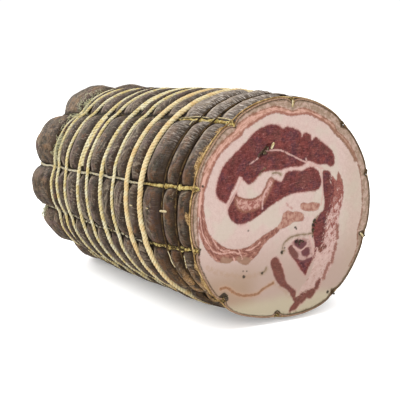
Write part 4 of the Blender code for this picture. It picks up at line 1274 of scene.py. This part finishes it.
net_cotton = string_finish()
last_share = (1 - (STRING_END_RADIUS / float(profile(SHOULDER_U))) ** 2) ** (1 / END_POWER)
fine_u = np.concatenate([np.linspace(0.0, SHOULDER_U, 900),
                         SHOULDER_U + (ROLL_LENGTH - SHOULDER_U) * last_share
                         * np.sin(np.linspace(0, math.pi / 2, 500)[1:])])
for index in range(len(STRINGS)):
    angle = string_angle(index, fine_u)
    wobble = STRING_WOBBLE * (2 * cloudy(fine_u, 0 * fine_u, STRING_WOBBLE_CELL, 1, 40 + index) - 1)
    centres = place(fine_u, angle + 3 * wobble / FACE_RADIUS, string_height(fine_u) + wobble)
    centres[:, 2] = np.maximum(centres[:, 2], string_floor(fine_u))
    path = evenly(np.concatenate([centres, fine_u[:, None], angle[:, None]], axis=1), STRING_STEP)
    centres, u, angle = path[:, :3], path[:, 3], path[:, 4]
    along, away = profile_normal(u)
    outward = np.stack([-along, away * np.cos(angle), away * np.sin(angle)], axis=-1)
    knots = np.min([np.abs(u - ring[1]) for ring in RINGS[:3]], axis=0)
    slubs = cloudy(u, 0 * u, SLUB_CELL, 1, 60 + index)
    thicker = 1 + LOOP_SWELL * (1 - smooth(*LOOP_END_U, u)) * (index in LOOPED)
    radius = STRING_RADIUS * thicker * (SLUB_BASE + SLUB_SWELL * slubs
                                        + KNOT_SWELL * np.exp(-(knots / KNOT_LENGTH) ** 2))
    points, faces, uv, crease = carried(centres, outward, radius, STRING_PLIES, STRING_PITCH,
                                        STRING_SIDES, False)
    cut_distance = 1000 * np.concatenate([np.repeat(u, STRING_SIDES), u[:1], u[-1:]])
    beyond, near = STRING_GRIME_AND_SHADE[index]
    cover = near + (beyond - near) * smooth(*GRIME_AND_SHADE_CHANGE_MM, cut_distance)
    piece = make_piece("string_%d" % (index + 1), points, faces, net_cotton,
                       {"crease": crease, "from_cut": cut_distance, "cover": cover}, uv)
    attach(piece, "root")
    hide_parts("net_string_%d" % (index + 1))


# The rings. Three thin threads of the net go round the bare ribs next to the cut, sunk in narrow
# grooves. Behind them butcher's twine is wound round nine times: two thick three-ply turns, then
# thinner two-ply ones, some of them doubled. Each climbs over the long strings in its way.
# Look, number of plies, their pitch, and points round the twine
RING_LOOKS = {"rim_thread": ("rim", 2, 0.0022, 10), "net_thread_1": ("net", 2, 0.0022, 10),
              "net_thread_2": ("net", 2, 0.0022, 10), "twine_ring_1": ("thick", 3, 0.0068, 24),
              "twine_ring_2": ("thick", 3, 0.0060, 24)}
RING_OTHER = ("thin", 2, 0.0046, 16)
RING_STEP = {"rim": 0.0004, "net": 0.0004, "thick": 0.00048, "thin": 0.00042}
RING_PLACES = 2400
STRAND_PLACES = 1200
RING_WOBBLE = 0.00022
RING_WOBBLE_CELL = 0.31
RING_SWELL_CELL = 0.05
FLOOR_GAP = 0.00005
# Share of the way from one string to the next in which a ring is drawn taut
TAUT_SHARE = 0.19


def ring_centres(u, w, thickness, depth, spread, seed):
    """Middle line of a ring at the places w round the roll. It lies on the floor of its groove, and
    is drawn taut from there to the top of each string, where it goes over."""
    half = thickness / 2
    beside = smooth(0, SHOULDER_SHARE, from_string(w))
    in_groove = lobe_height(u, w) - depth * beside + CLEAR + half
    over = string_height(u) + STRING_RADIUS + CLEAR + half
    landing = np.floor(w) + np.where(w - np.floor(w) < 0.5, TAUT_SHARE, 1 - TAUT_SHARE)
    landed = lobe_height(u, landing) - depth + CLEAR + half
    share = smooth(0.0, 1.0, from_string(w) / TAUT_SHARE)
    height = np.maximum(in_groove, over + (landed - over) * share)
    wobble = RING_WOBBLE * (2 * cloudy(w, 0 * w, RING_WOBBLE_CELL, 1, seed) - 1)
    return place(u - spread + wobble, string_angle(w, u), height + 0.3 * wobble)


def outwards(angle):
    """Directions straight out from the roll's axis at angles round it."""
    return np.stack([0 * angle, np.cos(angle), np.sin(angle)], axis=-1)


finishes = {
    "rim": cotton_finish("rim_thread_cotton", tint(236, 200, 140), tint(156, 118, 68),
                         tint(92, 64, 36), tint(90, 64, 34)),
    # The net threads are coloured dark brown to near black: painted shade of the narrow grooves they lie in
    "net": cotton_finish("net_thread_cotton", tint(96, 74, 46), tint(48, 36, 24), tint(150, 124, 76),
                         tint(34, 26, 18)),
    "thick": cotton_finish("thick_twine_cotton", tint(255, 240, 192), tint(250, 216, 156),
                           tint(232, 188, 124), tint(176, 138, 82)),
    "thin": cotton_finish("thin_twine_cotton", tint(255, 246, 208), tint(246, 222, 154),
                          tint(190, 164, 92), tint(122, 96, 50)),
}
for number, (name, u, thickness, depth, _lean, _wave, _pull) in enumerate(RINGS):
    look, plies, pitch, sides = RING_LOOKS.get(name, RING_OTHER)
    half = thickness / 2
    w = 7 + len(STRINGS) * np.arange(RING_PLACES) / RING_PLACES
    centres = ring_centres(u, w, thickness, depth, 0.0, 80 + number)
    centres[:, 2] = np.maximum(centres[:, 2], half + FLOOR_GAP)
    path = np.concatenate([centres, string_angle(w, u)[:, None]], axis=1)
    path = evenly(np.concatenate([path, path[:1] + [0, 0, 0, 2 * math.pi]]), RING_STEP[look])[:-1]
    angle = path[:, 3]
    radius = half * (0.97 + 0.10 * cloudy(angle, 0 * angle, RING_SWELL_CELL, 1, 100 + number))
    points, faces, uv, crease = carried(path[:, :3], outwards(angle), radius, plies, pitch, sides, True)
    points[:, 2] = np.maximum(points[:, 2], 0.0)
    wound = name.replace("twine_ring", "wound_twine").replace("net_thread", "lacing")
    piece = make_piece(wound.replace("rim_thread", "lacing_rim"), points, faces, finishes[look],
                       {"crease": crease}, uv)
    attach(piece, "root")
    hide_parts(name)
    if name in STRANDS:
        first, last, _gap = STRANDS[name]
        w = np.linspace(first + SHOULDER_SHARE, last - SHOULDER_SHARE, STRAND_PLACES)
        centres = ring_centres(u, w, thickness, depth, strand_room(name, w), 140 + number)
        path = evenly(np.concatenate([centres, string_angle(w, u)[:, None]], axis=1), RING_STEP[look])
        points, faces, uv, crease = carried(path[:, :3], outwards(path[:, 3]), half * np.ones(len(path)),
                                            plies, pitch, sides, False)
        piece = make_piece(wound + "_doubled", points, faces, finishes[look], {"crease": crease}, uv)
        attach(piece, "root")
        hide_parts(name + "_second_strand")


# The end knot. Where the strings meet at the middle of the far end they are bound with a few turns
# of the same twine, drawn tight, with the last turn crossing over the top.
END_KNOT_RADIUS = 0.0058
BINDING_TURNS = 3.2
BINDING_THICKNESS = 0.0019
BINDING_STEP = 0.00035
# Share of the twine's way after which it leaves the turns and crosses over
CROSSING_START = 0.86
t = np.linspace(0, 1, 900)
half = BINDING_THICKNESS / 2
wind = 2 * math.pi * BINDING_TURNS * np.clip(t / CROSSING_START, 0, 1)
inward = smooth(CROSSING_START, 1.0, t)
spread = (END_KNOT_RADIUS - half) * (1 - 0.12 * t) * (1 - 1.75 * inward)
rise = half + 0.0002 + (END_KNOT_RISE - BINDING_THICKNESS - 0.0004) * t
centres = np.stack([FACE_X - ROLL_LENGTH - rise, spread * np.cos(wind),
                    axis_height(ROLL_LENGTH) + spread * np.sin(wind)], axis=-1)
path = evenly(np.concatenate([centres, wind[:, None]], axis=1), BINDING_STEP)
points, faces, uv, crease = carried(path[:, :3], outwards(path[:, 3]), half * np.ones(len(path)),
                                    *RING_OTHER[1:], False)
piece = make_piece("binding_twine", points, faces, finishes["thin"], {"crease": crease}, uv)
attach(piece, "root")
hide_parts("end_knot")


# Loose bits. Each long string ends in a small knot at the cut. Short ends of cotton lie on the
# skin and the face, a fuzz of fibres stands off the far twine, and crushed pepper sticks in the
# pit, the cracks and the notches.
KNOT_RADIUS = 0.0011
KNOT_GRAINS = 14
KNOT_U = 0.0012
KNOT_SPREAD = 0.00085
KNOT_REACH = 0.0011
# Ends on the skin and on the face: points of the picture, thickness in millimetres
SKIN_ENDS = [([(161.6, 211), (164.5, 211.2), (167.4, 211.6)], 1.5),
             ([(168.3, 247.6), (170.6, 255.2), (172.9, 262.1), (176.0, 266.7)], 0.6),
             ([(185.1, 255.2), (185.9, 260.6), (187.4, 267.5)], 0.7),
             ([(178.5, 119.5), (184, 118.2), (190, 118), (196.4, 117.4), (202.8, 118), (210, 118.7)], 0.7),
             ([(190, 125.5), (192, 123), (195, 121.2), (200.2, 120.6), (204, 121.9), (209, 122.6)], 0.7),
             ([(213, 121), (218, 119), (225.7, 119.3), (230.8, 120.6), (234, 121)], 0.8),
             ([(233, 121), (229.5, 122.4), (226, 124.8)], 0.7),
             ([(233, 121), (231.4, 124), (228.6, 127)], 0.7),
             ([(130.4, 205), (132.8, 205.4)], 0.8), ([(147, 208), (149.4, 208.4)], 0.7)]
FACE_ENDS = [([(292.3, 99.8), (292.6, 103), (291.8, 107)], 1.3),
             ([(273.4, 142.4), (272.4, 145.4), (271, 148.6)], 1.6),
             ([(359.8, 232.8), (361.6, 234.6), (362.6, 236.6)], 1.4)]
# The part of the skin that faces the view, in u and w, and how many places of it are tried
SEEN_U, SEEN_U_PLACES = (0.0, 0.215), 480
SEEN_W, SEEN_W_PLACES = (2.0, 8.0), 1200
FACING_SHARE = 0.02
# Length on the skin of one step in w, and the lengths of steps in u and w for spacing an end
STRING_GAP = 0.0393
SKIN_SCALE = np.array([FACE_RADIUS / 0.09, STRING_GAP])
SKIN_END_STEP = 0.0006
FACE_END_STEP = 0.0004
# Fuzz: middle in the picture, reach in u and w, number of hairs
FUZZ = [((86, 111), 0.010, 0.34, 110), ((60, 144), 0.004, 0.22, 70), ((46, 209), 0.006, 0.14, 60)]
HAIR_LENGTHS = (0.002, 0.005)
HAIR_RISES = (0.0008, 0.0028)
HAIR_RADIUS = 0.00011
HAIR_CURL = 0.0006
# Pepper: middle in the picture, spread in millimetres, number of grains
PEPPER = [((265, 152), 2.0, 22), ((268, 148), 1.0, 8), ((314, 222), 1.3, 9), ((313.4, 231), 1.2, 9),
          ((301, 241.2), 1.9, 9), ((225, 298), 2.0, 16), ((282, 100), 1.2, 7), ((235, 125.6), 0.9, 6),
          ((198, 251), 0.9, 6), ((277, 313), 1.4, 8), ((366, 176), 0.8, 4), ((341, 123), 0.8, 4)]
PEPPER_RADII = (0.00025, 0.00065)
PEPPER_SINK = 0.0003
PEPPER_TO_RIM_MM = 0.9
# How far a grain is stretched each way, and its corners pushed in or out
GRAIN_STRETCH = (0.6, 1.2)
GRAIN_DENTS = (0.7, 1.15)


def skin_in_picture():
    """Many places of the skin that face the view, as u and w, and their points of the picture, by
    a division by their distance from the eye."""
    u, w = np.meshgrid(np.linspace(*SEEN_U, SEEN_U_PLACES), np.linspace(*SEEN_W, SEEN_W_PLACES),
                       indexing="ij")
    angle = string_angle(w, u)
    spot = place(u, angle, lobe_height(u, w)) - view_eye
    seen = np.cos(angle) * view_back[1] + np.sin(angle) * view_back[2] > FACING_SHARE
    reach = LENS_MM / SENSOR_MM * PICTURE_PIXELS / -(spot @ view_back)
    column = PICTURE_PIXELS / 2 + (spot @ view_right) * reach
    row = PICTURE_PIXELS / 2 - (spot @ view_up) * reach
    return np.stack([u[seen], w[seen]], axis=1), np.stack([column[seen], row[seen]], axis=1)


def seen_on_skin(points):
    """Where points of the picture fall on the skin, as u and w of the nearest known place."""
    nearest = [np.argmin(((skin_pictured - point) ** 2).sum(axis=1)) for point in points]
    return skin_known[nearest]


skin_known, skin_pictured = skin_in_picture()


def threads_along(name, paths, sides, finish):
    """Short twisted threads along paths of points, each with its outward directions and radius.
    They are thinner towards both ends."""
    all_points, all_faces, all_uv, creases, start = [], [], [], [], 0
    for centres, outward, radius in paths:
        taper = 0.45 + 0.55 * np.sin(math.pi * np.linspace(0.06, 0.94, len(centres))) ** 0.5
        points, faces, uv, crease = carried(centres, outward, radius * taper, 2, 0.0022, sides, False)
        all_points.append(points)
        all_faces += [array + start for array in faces]
        all_uv += uv
        creases.append(crease)
        start += len(points)
    quads = [array for array in all_faces if array.shape[1] == 4]
    fans = [array for array in all_faces if array.shape[1] == 3]
    quad_uv = [pairs for pairs in all_uv if pairs.shape[1] == 4]
    fan_uv = [pairs for pairs in all_uv if pairs.shape[1] == 3]
    return make_piece(name, np.concatenate(all_points), [np.concatenate(quads), np.concatenate(fans)],
                      finish, {"crease": np.concatenate(creases)},
                      [np.concatenate(quad_uv), np.concatenate(fan_uv)])


def grains(middles, sizes, seed):
    """Crushed grains: each the twelve corners of an icosahedron, stretched and pushed about by
    random shares. Returns points and triangles."""
    golden = (1 + math.sqrt(5)) / 2
    corners = np.array([(-1, golden, 0), (1, golden, 0), (-1, -golden, 0), (1, -golden, 0),
                        (0, -1, golden), (0, 1, golden), (0, -1, -golden), (0, 1, -golden),
                        (golden, 0, -1), (golden, 0, 1), (-golden, 0, -1), (-golden, 0, 1)])
    corners /= np.linalg.norm(corners[0])
    sides = np.linalg.norm(corners[:, None] - corners[None, :], axis=-1) < 1.1
    near = np.array([(i, j, k) for i in range(12) for j in range(i + 1, 12) for k in range(j + 1, 12)
                     if sides[i, j] and sides[j, k] and sides[i, k]])
    turned = np.einsum("ij,ij->i", np.cross(corners[near[:, 1]] - corners[near[:, 0]],
                                            corners[near[:, 2]] - corners[near[:, 0]]),
                       corners[near[:, 0]]) < 0
    near[turned] = near[turned][:, ::-1]
    chance = np.random.default_rng(seed)
    count = len(middles)
    stretch = chance.uniform(*GRAIN_STRETCH, (count, 1, 3))
    dents = chance.uniform(*GRAIN_DENTS, (count, 12, 1))
    points = middles[:, None, :] + corners[None] * stretch * dents * np.asarray(sizes)[:, None, None]
    return points.reshape(-1, 3), (near[None] + 12 * np.arange(count)[:, None, None]).reshape(-1, 3)


def loose_finish(name, light, dark, speck, grime=None):
    """Loose fibre or grain: two tones in patches of half a millimetre, with specks. A dark tone for grime and
    painted shade, where there is one, covers what the mesh holds under cover."""
    loose = Finish(name)
    even = loose.stretched(1, 1, 1)
    colour = loose.mix(light, dark, loose.noise(even, 0.7, 3, 0.6).step(0.42, 0.58))
    colour = loose.mix(colour, speck, loose.noise(even, 0.5, 2).step(0.60, 0.66))
    if grime is not None:
        # Dark tone for grime and painted shade where the mesh holds a high cover value; on the knots it is
        # painted shade
        colour = loose.mix(colour, grime, 0.9 * loose.value("cover").step(0.6, 0.8))
    return loose.apply(Base_Color=colour, Roughness=0.8, Specular_IOR_Level=0.10)


def spaced(line, step):
    """Points of a line in two numbers, rounded at its corners and set at an even step."""
    soft = rounded(line, False)
    return evenly(np.concatenate([soft, np.zeros((len(soft), 1))], axis=1), step)[:, :2]


# Knots of the strings at the cut: each a cluster of small lumps, kept close together. The knots of the first,
# second, ninth and tenth strings, and a little of the eighth, are painted dark as painted shade through their
# grime-and-shade value.
w = np.arange(len(STRINGS), dtype=float)
u = np.full(len(w), KNOT_U)
chance = np.random.default_rng(301)
lump_middles = np.repeat(place(u, string_angle(w, u), string_height(u) + 0.0001), KNOT_GRAINS, axis=0)
lump_middles += np.clip(chance.normal(0, KNOT_SPREAD, lump_middles.shape), -KNOT_REACH, KNOT_REACH)
lump_middles[:, 2] = np.maximum(lump_middles[:, 2], 0.0013)
points, triangles = grains(lump_middles, KNOT_RADIUS * chance.uniform(0.5, 1.0, len(lump_middles)), 302)
cover = np.repeat([near for _beyond, near in STRING_GRIME_AND_SHADE], len(points) // len(STRING_GRIME_AND_SHADE))
knotted_cotton = loose_finish("knotted_cotton", tint(156, 128, 74), tint(70, 52, 30),
                              tint(214, 192, 136), tint(66, 50, 32))
knots = make_piece("string_knots", points, [triangles], knotted_cotton, {"cover": cover})
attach(knots, "root")

# Cut ends of cotton on the skin, then those on the face
paths = []
for line, thickness in SKIN_ENDS:
    line = np.array(line) if len(line) > 2 else np.array([line[0], np.mean(line, axis=0), line[1]])
    u, w = (spaced(seen_on_skin(line) * SKIN_SCALE, SKIN_END_STEP) / SKIN_SCALE).T
    angle = string_angle(w, u)
    centres = place(u, angle, lobe_height(u, w) + RIB_CREST + 0.0004 * thickness)
    paths.append((centres, outwards(angle), 0.0005 * thickness))
for line, thickness in FACE_ENDS:
    flat = spaced(from_picture(line) / 1000, FACE_END_STEP)
    centres = np.stack([np.full(len(flat), FACE_X + 0.0002 * thickness), flat[:, 0],
                        CUT_AXIS_HEIGHT + flat[:, 1]], axis=-1)
    paths.append((centres, np.tile([1.0, 0.0, 0.0], (len(flat), 1)), 0.0005 * thickness))
loose_cotton = loose_finish("loose_cotton", tint(238, 224, 186), tint(196, 172, 118), tint(120, 96, 56))
loose_ends = threads_along("loose_ends", paths, 8, loose_cotton)
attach(loose_ends, "root")

# Fuzz: single hairs with a wave in them, standing off the twine and the skin
chance = np.random.default_rng(311)
paths = []
for middle, reach_u, reach_w, count in FUZZ:
    home = seen_on_skin([middle])[0]
    for _hair in range(count):
        u0 = home[0] + reach_u * chance.normal(0, 0.5)
        w0 = home[1] + reach_w * chance.normal(0, 0.5)
        length = chance.uniform(*HAIR_LENGTHS)
        heading = chance.uniform(0, 2 * math.pi)
        rise = chance.uniform(*HAIR_RISES)
        t = np.linspace(0, 1, 6)
        u = u0 + t * length * math.cos(heading)
        w = w0 + (t * length * math.sin(heading) + HAIR_CURL * np.sin(5 * t + heading)) / STRING_GAP
        angle = string_angle(w, u)
        centres = place(u, angle, lobe_height(u, w) + 0.0004 + rise * np.sin(math.pi * t * 0.8))
        paths.append((centres, outwards(angle), HAIR_RADIUS))
cotton_fuzz = loose_finish("cotton_fuzz", tint(242, 240, 206), tint(216, 214, 158), tint(190, 192, 126))
fuzz = threads_along("fuzz", paths, 3, cotton_fuzz)
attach(fuzz, "root")

# Pepper: grains in groups on the face, none of them beyond its rim
chance = np.random.default_rng(321)
spots = []
for middle, spread, count in PEPPER:
    group = from_picture([middle]) + spread * chance.normal(0, 0.5, (count, 2))
    reach = np.hypot(*group.T)
    limit = 1000 * rim_radius(np.arctan2(group[:, 1], group[:, 0])) - PEPPER_TO_RIM_MM
    spots.append(group * np.minimum(1, limit / reach)[:, None])
spots = np.concatenate(spots) / 1000
middles = np.stack([FACE_X - PEPPER_SINK + 0 * spots[:, 0], spots[:, 0],
                    CUT_AXIS_HEIGHT + spots[:, 1]], axis=-1)
points, triangles = grains(middles, chance.uniform(*PEPPER_RADII, len(middles)), 322)
crushed_pepper = loose_finish("crushed_pepper", tint(44, 36, 26), tint(96, 78, 52), tint(206, 190, 160))
pepper = make_piece("pepper", points, [triangles], crushed_pepper)
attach(pepper, "root")


# The studio: a bright white floor, a white room round it, a wide soft light overhead, one on the
# far left, which brings out the ribs, and one that falls on the cut face.
FLOOR_HALF = 6.0
FLOOR_WHITE = 0.86
FLOOR_GLOW = 0.24
ROOM_LIGHT = 1.05
AIM = (0.0, 0.0, 0.05)
# Name, place, size and power
LIGHTS = [("overhead_light", (0.45, -0.05, 1.50), 1.2, 16.0),
          ("left_light", (-1.30, -0.45, 0.75), 0.8, 30.0),
          ("front_light", (1.50, -0.80, 0.60), 0.9, 22.0)]
white_floor = Finish("white_floor").apply(
    Base_Color=(FLOOR_WHITE, FLOOR_WHITE, FLOOR_WHITE, 1.0), Roughness=0.9, Specular_IOR_Level=0.0,
    Emission_Color=(1.0, 1.0, 1.0, 1.0), Emission_Strength=FLOOR_GLOW)
floor = make_piece("floor", [(-FLOOR_HALF, -FLOOR_HALF, 0), (FLOOR_HALF, -FLOOR_HALF, 0),
                             (FLOOR_HALF, FLOOR_HALF, 0), (-FLOOR_HALF, FLOOR_HALF, 0)],
                   [np.array([[0, 1, 2, 3]])], white_floor)
for name, spot, size, power in LIGHTS:
    light = bpy.data.objects.new(name, bpy.data.lights.new(name, "AREA"))
    bpy.context.scene.collection.objects.link(light)
    light.data.size = size
    light.data.energy = power
    light.location = spot
    light.rotation_euler = (Vector(AIM) - Vector(spot)).to_track_quat("-Z", "Y").to_euler()
room = bpy.data.worlds.new("room")
room.use_nodes = True
room.node_tree.nodes["Background"].inputs["Color"].default_value = (1.0, 1.0, 1.0, 1.0)
room.node_tree.nodes["Background"].inputs["Strength"].default_value = ROOM_LIGHT
bpy.context.scene.world = room
bpy.context.scene.view_settings.view_transform = "Standard"
